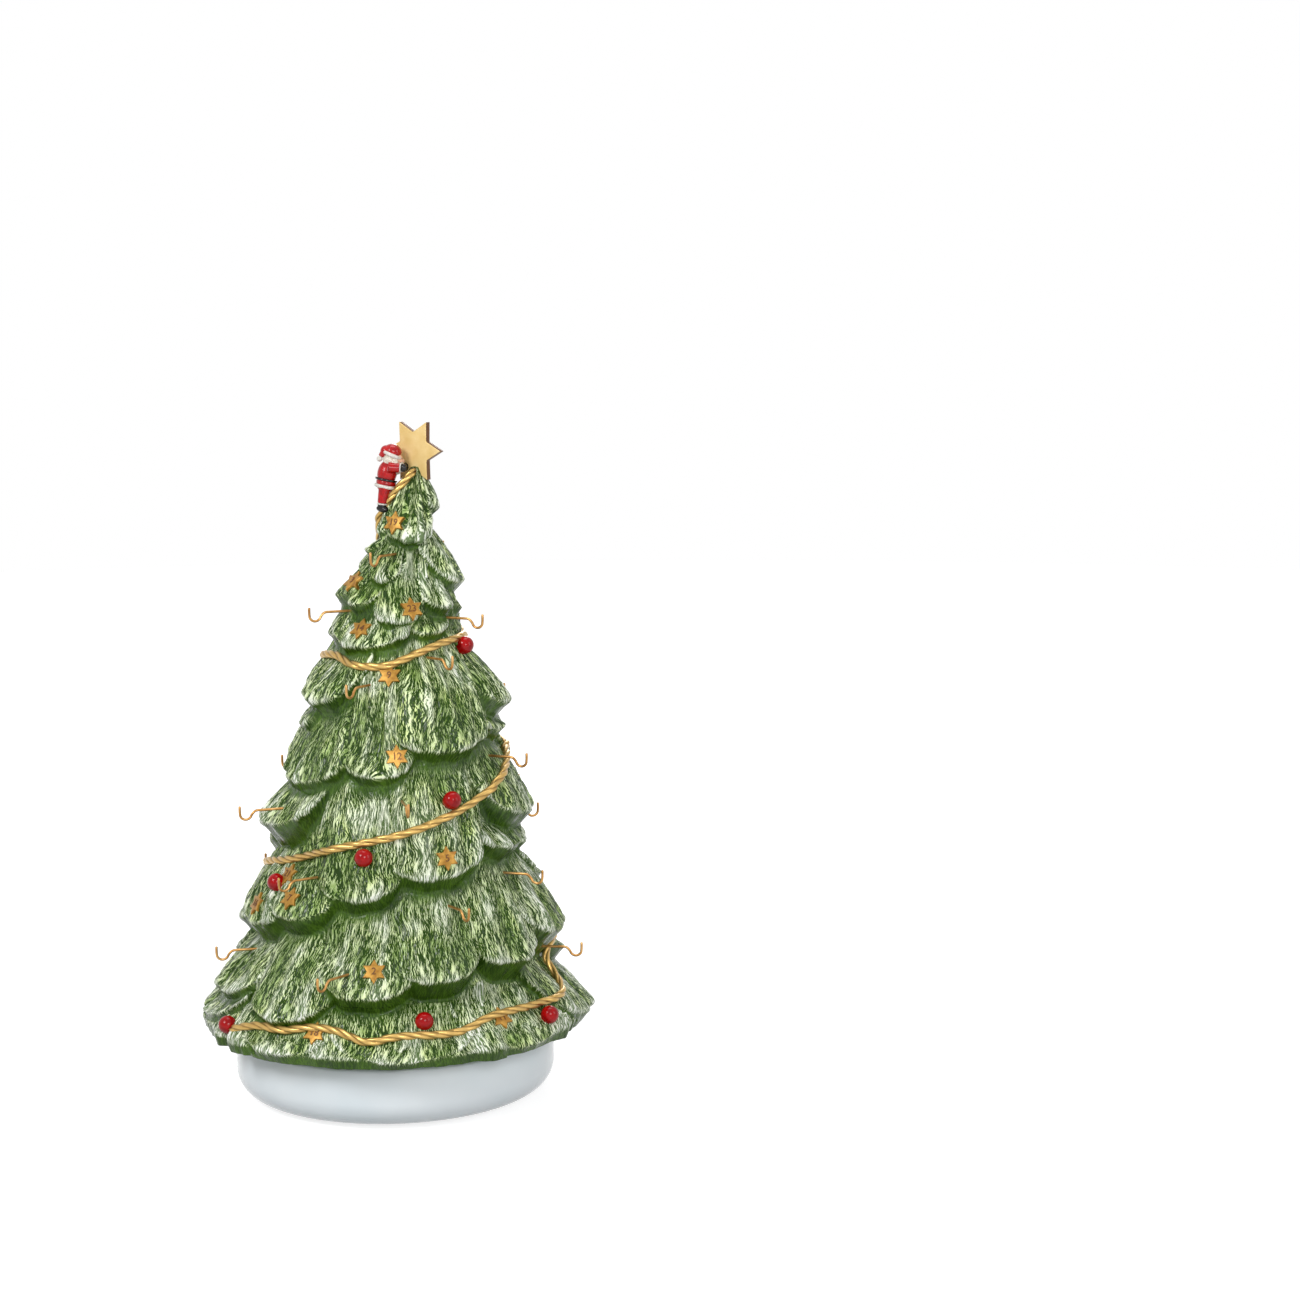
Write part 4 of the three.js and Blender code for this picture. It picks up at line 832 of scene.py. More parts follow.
class ADVENT_TREE_OT_rope(bpy.types.Operator):
    """Lays the twisted gold rope round the tree, one strand at a time"""

    bl_idname = "advent_tree.rope"
    bl_label = "Gold rope"

    def execute(self, context):
        trim = context.scene.advent_tree_trim
        line = rope_line(context.scene.advent_tree_skin)
        outward, across = directions_off_the_tree(line)
        strand = trim.strand_radius / MM
        offset = ROPE_RADIUS - strand
        travelled = np.arange(len(line))
        ends = np.minimum(travelled, travelled[::-1])
        radii = strand * np.sqrt(clamp(ROPE_END_SHARE + ends / ROPE_END_LENGTH))
        lobe_start, lobe_end = (share * ROPE_RADIUS for share in ROPE_LOBE_SHARES)
        lustre = rope_gold(trim)
        for index in range(ROPE_STRANDS):
            angle = 2 * np.pi * (travelled * MM / trim.rope_lay + index / ROPE_STRANDS)[:, None]
            middle = line + offset * (np.cos(angle) * outward + np.sin(angle) * across)
            rings = swept_rings(middle, radii, STRAND_SIDES, outward, across)
            # Painted shading: dark in the grooves by the rope's middle, bright on the outer backs of the
            # strands
            lobe = smoothstep(np.linalg.norm(rings - line[:, None, :], axis=2), lobe_start, lobe_end)
            piece = add_tube(rings, {"lobe": lobe})
            smooth(piece, 60)
            finish_piece(piece, f"rope_strand_{index + 1}", "tree", lustre, ["garland"])
        return {"FINISHED"}


def star_plate(radius, bottom, top, bevel):
    """A six-pointed star that lies between two heights, with softened edges."""
    deselect_all()
    bpy.ops.mesh.primitive_circle_add(vertices=12, radius=radius * MM, fill_type="NGON",
                                      location=(0, 0, bottom * MM), rotation=(0, 0, math.radians(-90)))
    piece = bpy.context.object
    apply_place(piece)
    for inner_corner in list(piece.data.vertices)[1::2]:
        inner_corner.co.xy *= STAR_INNER_SHARE
    rise = {"value": (0, 0, (top - bottom) * MM)}
    edit_all(piece, lambda: bpy.ops.mesh.extrude_region_move(TRANSFORM_OT_translate=rise), face_outwards)
    apply_modifier(piece, "BEVEL", width=bevel * MM, segments=4, limit_method="ANGLE",
                   angle_limit=math.radians(25), harden_normals=False)
    return piece


def add_numeral(text, bottom):
    """Figures as a solid, which stand up from a height."""
    deselect_all()
    bpy.ops.object.text_add()
    piece = bpy.context.object
    piece.data.body = text
    piece.data.size = NUMERAL_SIZE * MM
    piece.data.extrude = NUMERAL_DEPTH / 2 * MM
    piece.data.bevel_depth = NUMERAL_BEVEL * MM
    piece.data.align_x = "CENTER"
    piece.data.align_y = "CENTER"
    piece.data.resolution_u = 3
    bpy.ops.object.convert(target="MESH")
    piece = bpy.context.object
    piece.location = (0, 0, (bottom + NUMERAL_DEPTH / 2) * MM)
    apply_place(piece)
    return piece


def star_placement(azimuth, height):
    """Turns the XY plane onto the skin at a numbered star."""
    outward = Vector(skin_normal(azimuth, height, STAR_RADIUS / 2))
    side = Vector((0, 0, 1)).cross(outward).normalized()
    up = outward.cross(side)
    turned = Matrix((side, up, outward)).transposed().to_4x4()
    return Matrix.Translation(Vector(skin_point(azimuth, height)) * MM) @ turned


class ADVENT_TREE_OT_number_stars(bpy.types.Operator):
    """Sets the twenty-four numbered stars on the branches"""

    bl_idname = "advent_tree.number_stars"
    bl_label = "Numbered stars"

    def execute(self, context):
        trim = context.scene.advent_tree_trim
        gold, ink = star_gold(trim), number_brown()
        model = star_plate(STAR_RADIUS, -STAR_ROOT, STAR_RELIEF, STAR_BEVEL)
        model.data.transform(Matrix.Rotation(math.radians(STAR_TURN), 4, "Z"))
        smooth(model, 50)
        for azimuth, height, day in NUMBER_STARS:
            plate = copy_of(model)
            plate.data.materials.append(gold)
            figures = add_numeral(str(day), STAR_RELIEF - NUMERAL_SINK)
            figures.data.materials.clear()
            figures.data.materials.append(ink)
            activate(plate)
            figures.select_set(True)
            bpy.ops.object.join()
            plate.data.transform(star_placement(azimuth, height))
            finish_piece(plate, f"number_star_{day:02d}", "tree", None)
        bpy.data.objects.remove(model)
        return {"FINISHED"}


def hook_line():
    """The middle of a hook's wire, with X outwards and Z up."""
    x, z = HOOK_BEND_MIDDLE
    bend = [(x + HOOK_BEND_RADIUS * math.cos(angle), z + HOOK_BEND_RADIUS * math.sin(angle))
            for angle in map(math.radians, HOOK_BEND_ANGLES)]
    return np.array([(x, 0, z) for x, z in (*HOOK_STEM, *HOOK_SHOULDER, *bend, *HOOK_TIP)])


class ADVENT_TREE_OT_hooks(bpy.types.Operator):
    """Bends the brass hooks and puts one in each hole"""

    bl_idname = "advent_tree.hooks"
    bl_label = "Brass hooks"

    def execute(self, context):
        line = hook_line()
        side = np.tile([0.0, 1.0, 0.0], (len(line), 1))
        radii = np.full(len(line), HOOK_RADIUS)
        radii[-1] = HOOK_RADIUS * HOOK_TIP_SHARE
        across = np.cross(directions_along(line), side)
        model = add_tube(swept_rings(line, radii, HOOK_SIDES, side, across))
        smooth(model, 60)
        brass = brass_wire()
        for index, (azimuth, height, heading) in enumerate(HOOKS):
            hook = copy_of(model)
            place = Matrix.Translation(Vector(skin_point(azimuth, height)) * MM)
            hook.data.transform(place @ Matrix.Rotation(math.radians(heading - 90), 4, "Z"))
            finish_piece(hook, f"brass_hook_{index + 1:02d}", "tree", brass,
                         [f"hook_{index + 1:02d}"])
        bpy.data.objects.remove(model)
        return {"FINISHED"}


class ADVENT_TREE_OT_balls(bpy.types.Operator):
    """Sets the red balls beside the rope"""

    bl_idname = "advent_tree.balls"
    bl_label = "Red balls"

    def execute(self, context):
        radius = context.scene.advent_tree_trim.ball_radius / MM
        deselect_all()
        bpy.ops.mesh.primitive_uv_sphere_add(segments=48, ring_count=24, radius=radius * MM)
        model = bpy.context.object
        # The foot of a ball spreads out into the slip that holds it
        for vertex in model.data.vertices:
            depth = -vertex.co.z / (radius * MM)
            seat = clamp((depth - BALL_SEAT_START) / (1 - BALL_SEAT_START))
            vertex.co.xy *= 1 + BALL_SEAT_SPREAD * seat
        activate(model)
        bpy.ops.object.shade_smooth()
        glaze = red_glaze(context.scene.advent_tree_trim)
        for index, (azimuth, height) in enumerate(RED_BALLS):
            ball = copy_of(model)
            outward = Vector(skin_normal(azimuth, height, radius / 2))
            middle = Vector(tree_point(azimuth, height, skin(azimuth, height)[0] + BALL_STAND)) * MM
            turned = outward.to_track_quat("Z", "Y").to_matrix().to_4x4()
            ball.data.transform(Matrix.Translation(middle) @ turned)
            finish_piece(ball, f"glazed_ball_{index + 1:02d}", "tree", glaze,
                         [f"red_ball_{index + 1:02d}"])
        bpy.data.objects.remove(model)
        return {"FINISHED"}


class ADVENT_TREE_OT_top_star(bpy.types.Operator):
    """Puts the large gold star on the tip"""

    bl_idname = "advent_tree.top_star"
    bl_label = "Top star"

    def execute(self, context):
        half = TOP_STAR_THICKNESS / 2
        piece = star_plate(TOP_STAR_RADIUS, -half, half, TIP_STAR_BEVEL)
        middle = Vector((lean_at(TREE_HEIGHT), TOP_STAR_BACK, UNDERSIDE + TREE_HEIGHT + TOP_STAR_RISE)) * MM
        piece.data.transform(
            Matrix.Translation(middle)
            @ Matrix.Rotation(math.radians(TOP_STAR_YAW), 4, "Z")
            @ Matrix.Rotation(math.radians(90), 4, "X"))
        smooth(piece, 50)
        finish_piece(piece, "tip_star", "tree", satin_gold(), ["top_star"])
        # The sides, about square to the star's face, are darker: a painted dark reflection
        piece.data.materials.append(number_brown())
        yaw = math.radians(TOP_STAR_YAW)
        facing = Vector((math.sin(yaw), -math.cos(yaw), 0))
        for face in piece.data.polygons:
            if abs(face.normal.dot(facing)) < TOP_STAR_SIDE_LIMIT:
                face.material_index = 1
        return {"FINISHED"}


# The climbing figure, with its chest to +X, its feet at the origin and its head up

def both_sides(points, *rows):
    """Each row as it is and mirrored to the figure's other side. The row's first values are points."""
    made = []
    for row in rows:
        mirrored = [(x, -y, z) for x, y, z in row[:points]]
        made += [row, (*mirrored, *row[points:])]
    return made


# Each part is a list of eggs (middle, half sizes), limbs (start, end, start radius, end radius)
# and rings (middle, radius, thickness, tilt in degrees).
FIGURE_PARTS = {
    "coat": {
        "eggs": [((1.0, 0, 27), (6.8, 7.4, 9.4)), ((1.6, 0, 20.5), (7.0, 7.6, 4.4))],
        "limbs": both_sides(2, ((1.5, -6, 31.5), (9.2, -5.7, 32.6), 3.8, 3.2)),
    },
    "trousers": {
        "eggs": [((1.6, 0, 17.6), (5.8, 6.6, 4.4))],
        "limbs": both_sides(2, ((1.5, -3.5, 17.5), (2.2, -3.8, 6.4), 4.2, 3.6)),
    },
    "hat": {
        "eggs": [((1.8, 0, 42.6), (6.3, 6.5, 5.2)), ((-2.4, 0, 42.0), (4.2, 4.2, 4.0))],
        "limbs": [((-2.6, 0, 43.0), (-5.6, -1.2, 37.6), 3.2, 1.7)],
    },
    "fur": {
        "eggs": [((-5.9, -1.4, 35.9), (2.1, 2.1, 2.1))],
        "limbs": both_sides(2, ((9.3, -5.7, 32.7), (10.1, -5.7, 32.8), 3.5, 3.5),
                            ((2.2, -3.8, 6.2), (2.3, -3.8, 5.2), 3.9, 3.9)),
        "rings": [((2.2, 0, 40.2), 5.9, 1.5, 14), ((1.6, 0, 17.8), 6.7, 1.3, 0)],
    },
    "hair": {
        "eggs": [((1.4, 0, 36.6), (5.2, 6.3, 5.0)), ((7.6, 0, 32.6), (3.6, 4.9, 5.2)),
                 ((9.3, 0, 35.6), (1.8, 3.4, 1.3)), *both_sides(1, ((5.0, -5.0, 35.0), (2.6, 1.6, 3.4)))],
        "limbs": both_sides(2, ((9.6, -0.8, 36.0), (8.8, -3.9, 34.8), 1.2, 0.7)),
    },
    "face": {
        "eggs": [((5.2, 0, 37.6), (4.8, 5.2, 4.6)), ((10.0, 0, 37.4), (1.3, 1.2, 1.3)),
                 *both_sides(1, ((8.6, -2.4, 37.3), (1.5, 1.6, 1.4)))],
    },
    "eyes": {
        "eggs": both_sides(1, ((9.2, -1.9, 38.9), (0.6, 0.6, 0.75))),
    },
    "leather": {
        "eggs": both_sides(1, ((3.4, -3.8, 2.4), (4.9, 3.2, 2.5)), ((11.8, -5.6, 33.4), (2.6, 2.6, 3.0)),
                           ((10.9, -3.4, 34.6), (1.4, 1.1, 1.5))),
        "limbs": both_sides(2, ((2.2, -3.8, 5.6), (2.4, -3.8, 2.2), 3.2, 3.2)),
        "rings": [((1.2, 0, 22.6), 6.9, 0.9, 0)],
    },
}
FIGURE_VOXEL = 0.32


def add_figure_part(part):
    """Eggs, limbs and rings of one colour, melted into one skin as modelled in clay."""
    made = []

    def keep(middle, turned):
        """Puts the new primitive in its place."""
        made.append(bpy.context.object)
        made[-1].data.transform(Matrix.Translation(middle * MM) @ turned)

    for middle, half in part.get("eggs", []):
        deselect_all()
        bpy.ops.mesh.primitive_uv_sphere_add(segments=24, ring_count=14, radius=MM)
        keep(Vector(middle), Matrix.Diagonal((*half, 1)))
    for start, end, start_radius, end_radius in part.get("limbs", []):
        line = Vector(end) - Vector(start)
        deselect_all()
        bpy.ops.mesh.primitive_cone_add(vertices=20, radius1=start_radius * MM, radius2=end_radius * MM,
                                        depth=line.length * MM)
        keep(Vector(start) + line / 2, line.to_track_quat("Z", "Y").to_matrix().to_4x4())
    for middle, radius, thickness, tilt in part.get("rings", []):
        deselect_all()
        bpy.ops.mesh.primitive_torus_add(major_segments=40, minor_segments=10, major_radius=radius * MM,
                                         minor_radius=thickness * MM)
        keep(Vector(middle), Matrix.Rotation(math.radians(tilt), 4, "Y"))
    activate(made[0])
    for other in made[1:]:
        other.select_set(True)
    bpy.ops.object.join()
    piece = made[0]
    apply_place(piece)
    apply_modifier(piece, "REMESH", mode="VOXEL", voxel_size=FIGURE_VOXEL * MM)
    apply_modifier(piece, "SMOOTH", factor=0.5, iterations=4)
    return piece


class ADVENT_TREE_OT_figure(bpy.types.Operator):
    """Models the small figure that climbs to the star"""

    bl_idname = "advent_tree.figure"
    bl_label = "Climbing figure"

    def execute(self, context):
        colours = context.scene.advent_tree_figure
        paints = figure_paints(colours)
        feet_height = TREE_HEIGHT - FIGURE_DROP
        feet_radius = skin(FIGURE_AZIMUTH, feet_height)[0] + FIGURE_STAND
        feet = Vector(tree_point(FIGURE_AZIMUTH, feet_height, feet_radius)) * MM
        place = (Matrix.Translation(feet) @ Matrix.Rotation(math.radians(FIGURE_YAW), 4, "Z")
                 @ Matrix.Rotation(math.radians(FIGURE_LEAN), 4, "Y"))
        for name, part in FIGURE_PARTS.items():
            piece = add_figure_part(part)
            piece.data.transform(place)
            activate(piece)
            bpy.ops.object.shade_smooth()
            finish_piece(piece, f"figure_{name}", "tree", paints[name], ["climbing_figure"])
        return {"FINISHED"}


def select_faces(piece, wanted):
    """In edit mode, selects the faces whose middle and normal pass a test."""
    bpy.context.tool_settings.mesh_select_mode = (False, False, True)
    shape = bmesh.from_edit_mesh(piece.data)
    for face in shape.faces:
        face.select_set(wanted(face.calc_center_median(), face.normal))
    bmesh.update_edit_mesh(piece.data)


def select_edges(piece, wanted):
    """In edit mode, selects the edges whose two ends pass a test."""
    bpy.context.tool_settings.mesh_select_mode = (False, True, False)
    shape = bmesh.from_edit_mesh(piece.data)
    for edge in shape.edges:
        edge.select_set(all(wanted(vertex.co) for vertex in edge.verts))
    bmesh.update_edit_mesh(piece.data)


def add_cylinder(sides, radius, low, high, x=0.0, y=0.0):
    """An upright cylinder, by its radius, the heights of its ends and its place."""
    deselect_all()
    bpy.ops.mesh.primitive_cylinder_add(vertices=sides, radius=radius * MM, depth=(high - low) * MM,
                                        location=(x * MM, y * MM, (low + high) / 2 * MM))
    return bpy.context.object


def is_middle(place):
    """Whether a face's middle lies on the axis of the base."""
    return place.xy.length < 10 * MM


class ADVENT_TREE_OT_base(bpy.types.Operator):
    """Turns the white base with its well, and the felt under it"""

    bl_idname = "advent_tree.base"
    bl_label = "White base"

    def execute(self, context):
        drum = add_cylinder(DRUM_SIDES, DRUM_RADIUS, DRUM_BOTTOM, DRUM_TOP)
        apply_place(drum)
        bpy.ops.object.mode_set(mode="EDIT")
        select_edges(drum, lambda place: place.z < (DRUM_BOTTOM + 1) * MM)
        bpy.ops.mesh.bevel(offset=FOOT_FILLET * MM, offset_type="OFFSET", segments=14)
        select_edges(drum, lambda place: place.z > (DRUM_TOP - 0.01) * MM)
        bpy.ops.mesh.bevel(offset=TOP_FILLET * MM, offset_type="OFFSET", segments=6)
        select_faces(drum, lambda middle, normal: is_middle(middle) and normal.z > 0.99)
        bpy.ops.mesh.inset(thickness=(DRUM_RADIUS - TOP_FILLET - WELL_RADIUS - WELL_LIP) * MM)
        bpy.ops.mesh.inset(thickness=WELL_LIP * MM, depth=-WELL_LIP_DEPTH * MM)
        sink = {"value": (0, 0, (WELL_FLOOR - DRUM_TOP + WELL_LIP_DEPTH) * MM)}
        bpy.ops.mesh.extrude_region_move(TRANSFORM_OT_translate=sink)
        select_faces(drum, lambda middle, normal: is_middle(middle) and normal.z < -0.99)
        bpy.ops.mesh.inset(thickness=(DRUM_RADIUS - FOOT_FILLET - PLATE_OPENING) * MM)
        rise = {"value": (0, 0, (WELL_UNDERSIDE - DRUM_BOTTOM) * MM)}
        bpy.ops.mesh.extrude_region_move(TRANSFORM_OT_translate=rise)
        bpy.ops.object.mode_set(mode="OBJECT")
        self.add_bosses(drum)
        smooth(drum, 35)
        finish_piece(drum, "porcelain_base", "base", white_glaze(), ["base_drum"])

        pad = add_cylinder(FELT_SIDES, FELT_RADIUS, 0, FELT_TOP)
        apply_place(pad)
        apply_modifier(pad, "BEVEL", width=FELT_BEVEL * MM, segments=3, limit_method="ANGLE")
        smooth(pad, 35)
        finish_piece(pad, "felt_disc", "base", green_felt(), ["felt_pad"])
        return {"FINISHED"}

    def add_bosses(self, drum):
        """Adds the three screw bosses and drills the bolt and screw holes."""
        tools = [("DIFFERENCE", BOLT_BORE, WELL_UNDERSIDE - CUT_OVERRUN, WELL_FLOOR + CUT_OVERRUN, 0, 0)]
        for index in range(BOSS_COUNT):
            angle = 2 * math.pi * (index + 0.5) / BOSS_COUNT
            x, y = BOSS_RING_RADIUS * math.cos(angle), BOSS_RING_RADIUS * math.sin(angle)
            tools.append(("UNION", BOSS_RADIUS, BOSS_BOTTOM, WELL_UNDERSIDE + BOSS_ROOT, x, y))
            tools.append(("DIFFERENCE", SCREW_BORE, *SCREW_BORE_ENDS, x, y))
        for operation, *shape in tools:
            tool = add_cylinder(BOSS_SIDES, *shape)
            apply_modifier(drum, "BOOLEAN", operation=operation, object=tool, solver="EXACT")
            bpy.data.objects.remove(tool)


# Materials

def linear_colour(colour):
    """The linear colour that a socket takes, from an sRGB hex text or from a colour setting."""
    if not isinstance(colour, str):
        return (*colour, 1.0)
    channels = [int(colour[place:place + 2], 16) / 255 for place in (1, 3, 5)]
    return (*[c / 12.92 if c <= 0.04045 else ((c + 0.055) / 1.055) ** 2.4 for c in channels], 1.0)


def add_node(material, kind, settings=None, links=None):
    """Adds a node, sets its properties, sockets and ramp stops, and links its inputs."""
    added = material.node_tree.nodes.new(kind)
    for key, value in (settings or {}).items():
        if key == "stops":
            ramp = added.color_ramp
            while len(ramp.elements) < len(value):
                ramp.elements.new(0.5)
            for element, (position, colour) in zip(ramp.elements, value):
                element.position = position
                element.color = linear_colour(colour)
        elif isinstance(key, str) and hasattr(added, key):
            setattr(added, key, value)
        else:
            added.inputs[key].default_value = value
    for key, source in (links or {}).items():
        material.node_tree.links.new(source, added.inputs[key])
    return added


def new_material(name):
    """An empty node material and its Principled shader, joined to the output."""
    material = bpy.data.materials.new(name)
    material.use_nodes = True
    material.node_tree.nodes.clear()
    shader = add_node(material, "ShaderNodeBsdfPrincipled")
    add_node(material, "ShaderNodeOutputMaterial", links={"Surface": shader.outputs["BSDF"]})
    return material, shader


def set_sockets(shader, **values):
    """Sets sockets of a shader by their names, with underscores for spaces."""
    for name, value in values.items():
        shader.inputs[name.replace("_", " ")].default_value = value


def join_sockets(material, *pairs):
    """Links outputs to inputs, each pair an output and an input."""
    for source, target in pairs:
        material.node_tree.links.new(source, target)


def needle_strokes(material, grain, pitch_mm, length_mm, turn):
    """Fine cuts along the needles, as a value from 0 in a cut to 1 on the back beside it."""
    turned = add_node(material, "ShaderNodeMapping", {"Rotation": (0, 0, math.radians(turn))},
                      {"Vector": grain}).outputs["Vector"]
    stretched = add_node(material, "ShaderNodeMapping",
                         {"Scale": (1 / (pitch_mm * MM), 1 / (length_mm * MM), 1)},
                         {"Vector": turned}).outputs["Vector"]
    stroke = add_node(material, "ShaderNodeTexNoise",
                      {"noise_dimensions": "2D", "Scale": 1.0, "Detail": 2.0, "Roughness": 0.6,
                       "Distortion": 0.1}, {"Vector": stretched}).outputs["Fac"]
    return add_node(material, "ShaderNodeMapRange", {"From Min": 0.36, "From Max": 0.64},
                    {"Value": stroke}).outputs["Result"]


def green_glaze(settings):
    """Clear green glaze over white porcelain that is cut with needle strokes: it pools dark in the cuts,
    runs thinly and pale over the backs between them, and gives a wet sparkle over everything. Painted
    highlight lightens the ridges and drapes and gives the palest strokes a glint, and painted shade darkens
    the creases and the skin under the branch edges."""
    material, shader = new_material("clear_green_glaze_on_porcelain")
    needle, frost, band = (add_node(material, "ShaderNodeAttribute", {"attribute_name": name}).outputs["Fac"]
                           for name in ("needle", "frost", "band"))
    grain = add_node(material, "ShaderNodeUVMap", {"uv_map": "grain"}).outputs["UV"]
    place = add_node(material, "ShaderNodeTexCoord").outputs["Object"]
    # Long cuts 0.8 mm apart, and shorter ones that cross them
    long_cuts, left_cuts, right_cuts = (needle_strokes(material, grain, *cut)
                                        for cut in ((0.8, 14, 0), (0.85, 8, 18), (0.95, 9, -15)))
    crossed = add_node(material, "ShaderNodeMath", {"operation": "ADD"},
                       {0: left_cuts, 1: right_cuts}).outputs[0]
    mixed = add_node(material, "ShaderNodeMath", {"operation": "MULTIPLY_ADD", 1: 1.2},
                     {0: long_cuts, 2: crossed}).outputs[0]
    cuts = add_node(material, "ShaderNodeMapRange", {"From Min": 1.38, "From Max": 2.0},
                    {"Value": mixed}).outputs["Result"]
    back = add_node(material, "ShaderNodeMath", {"operation": "MULTIPLY_ADD", 1: 0.14},
                    {0: needle, 2: cuts}).outputs[0]
    # Painted highlight lightens the ridges and painted shade darkens the creases here, through the signed
    # mask
    thinness_and_painted_light = add_node(material, "ShaderNodeMath", {"operation": "MULTIPLY_ADD", 1: 0.35},
                    {0: frost, 2: back}).outputs[0]
    # The top of this ramp is partly a painted glint
    glaze = add_node(material, "ShaderNodeValToRGB", {"stops": [
        (0.08, settings.deep_green), (0.42, settings.middle_green), (0.74, "#74963a"),
        (1.0, settings.pale_green)]}, {"Fac": thinness_and_painted_light}).outputs["Color"]
    # Yellow-green clouds about 20 mm wide
    cloud = add_node(material, "ShaderNodeTexNoise", {"Scale": 1 / (20 * MM), "Detail": 2.0},
                     {"Vector": place}).outputs["Fac"]
    cloud_share = add_node(material, "ShaderNodeMapRange",
                           {"From Min": 0.45, "From Max": 0.75, "To Max": 0.4},
                           {"Value": cloud}).outputs["Result"]
    warm = add_node(material, "ShaderNodeMix",
                    {"data_type": "RGBA", "blend_type": "OVERLAY", 7: linear_colour("#a8b94a")},
                    {0: cloud_share, 6: glaze}).outputs[2]
    # A white veil where the glaze ran off, and painted highlight on the ridges and drapes, with the cuts
    # still green in it
    veil = add_node(material, "ShaderNodeMath", {"operation": "MULTIPLY", "use_clamp": True},
                    {0: frost, 1: add_node(material, "ShaderNodeMapRange",
                                           {"From Min": 0.15, "From Max": 0.8, "To Min": 0.1, "To Max": 1.0},
                                           {"Value": cuts}).outputs["Result"]}).outputs[0]
    frosted = add_node(material, "ShaderNodeMix", {"data_type": "RGBA", 7: linear_colour(settings.frost)},
                       {0: veil, 6: warm}).outputs[2]
    # The glaze that gathers under the edges of the branches, darkened with painted shade where they hang
    # over, keeps faint strokes
    pool_and_shade = add_node(material, "ShaderNodeMath", {"operation": "MULTIPLY_ADD", 1: 0.3},
                    {0: cuts, 2: add_node(material, "ShaderNodeMath", {"operation": "MULTIPLY", 1: 0.8},
                                          {0: cloud}).outputs[0]}).outputs[0]
    pooled_and_shaded = add_node(material, "ShaderNodeValToRGB", {"stops": [
        (0.3, "#25400a"), (0.8, "#4b6c1c")]}, {"Fac": pool_and_shade}).outputs["Color"]
    colour = add_node(material, "ShaderNodeMix", {"data_type": "RGBA"},
                      {0: band, 6: frosted, 7: pooled_and_shaded}).outputs[2]
    firm = add_node(material, "ShaderNodeMapRange", {"To Min": 0.9, "To Max": 0.35},
                    {"Value": band}).outputs["Result"]
    bump = add_node(material, "ShaderNodeBump", {"Distance": 0.5 * MM},
                    {"Height": cuts, "Strength": firm}).outputs["Normal"]
    join_sockets(material, (colour, shader.inputs["Base Color"]), (bump, shader.inputs["Normal"]))
    set_sockets(shader, Roughness=0.16, IOR=1.5, Specular_IOR_Level=0.2)
    return material


def rope_gold(trim):
    """Gold lustre fired over relief, with painted highlight on the backs of the strands and painted shade,
    brown, in the grooves.
    """
    material, shader = new_material("gold_lustre_on_twisted_rope")
    lobe = add_node(material, "ShaderNodeAttribute", {"attribute_name": "lobe"}).outputs["Fac"]
    place = add_node(material, "ShaderNodeTexCoord").outputs["Object"]
    wear = add_node(material, "ShaderNodeTexNoise", {"Scale": 1 / (4 * MM), "Detail": 4.0},
                    {"Vector": place}).outputs["Fac"]
    # Painted shade in the grooves and painted highlight on the backs, mixed with wear
    depth = add_node(material, "ShaderNodeMath", {"operation": "MULTIPLY_ADD", 1: 0.4},
                     {0: wear, 2: add_node(material, "ShaderNodeMath", {"operation": "MULTIPLY", 1: 0.7},
                                           {0: lobe}).outputs[0]}).outputs[0]
    colour = add_node(material, "ShaderNodeValToRGB", {"stops": [
        (0.25, "#4a2c10"), (0.6, trim.gold), (0.95, "#c9a660")]},
        {"Fac": depth}).outputs["Color"]
    bump = add_node(material, "ShaderNodeBump", {"Strength": 0.3, "Distance": 0.2 * MM},
                    {"Height": wear}).outputs["Normal"]
    join_sockets(material, (colour, shader.inputs["Base Color"]), (bump, shader.inputs["Normal"]))
    set_sockets(shader, Metallic=0.7, Roughness=0.3)
    return material


def patterned(name, grain_mm, stops, pattern=None, kind="ShaderNodeTexNoise",
              rough=None, bump=None, bump_grain_mm=None, **sockets):
    """A material with a pattern of a real size in its colour, and in its roughness and relief where given.

    rough is the lowest and highest roughness, and bump the strength and the height in millimetres."""
    material, shader = new_material(name)
    place = add_node(material, "ShaderNodeTexCoord").outputs["Object"]
    cloud = add_node(material, kind, {"Scale": 1 / (grain_mm * MM), **(pattern or {})},
                     {"Vector": place}).outputs["Fac"]
    colour = add_node(material, "ShaderNodeValToRGB", {"stops": stops}, {"Fac": cloud}).outputs["Color"]
    join_sockets(material, (colour, shader.inputs["Base Color"]))
    if rough:
        spread = add_node(material, "ShaderNodeMapRange", {"To Min": rough[0], "To Max": rough[1]},
                          {"Value": cloud}).outputs["Result"]
        join_sockets(material, (spread, shader.inputs["Roughness"]))
    if bump:
        height = cloud
        if bump_grain_mm:
            height = add_node(material, kind, {"Scale": 1 / (bump_grain_mm * MM)},
                              {"Vector": place}).outputs["Fac"]
        raised = add_node(material, "ShaderNodeBump", {"Strength": bump[0], "Distance": bump[1] * MM},
                          {"Height": height}).outputs["Normal"]
        join_sockets(material, (raised, shader.inputs["Normal"]))
    set_sockets(shader, **sockets)
    return material


def star_gold(trim):
    """Matt gold paint on the small stars, a little uneven from the brush."""
    stops = [(0.3, "#8f5f1c"), (0.5, trim.star_gold), (0.75, "#bf8f3e")]
    return patterned("matt_gold_paint", 3, stops, {"Detail": 3.0}, bump=(0.2, 0.1),
                     Metallic=0.5, Roughness=0.36)


def number_brown():
    """Brown gold in the raised figures, where the paint lies thick, and a painted dark reflection on the
    sides of the tip star.
    """
    return patterned("thick_brown_gold", 1, [(0.3, "#50300f"), (0.7, "#704417")],
                     Metallic=0.3, Roughness=0.45)


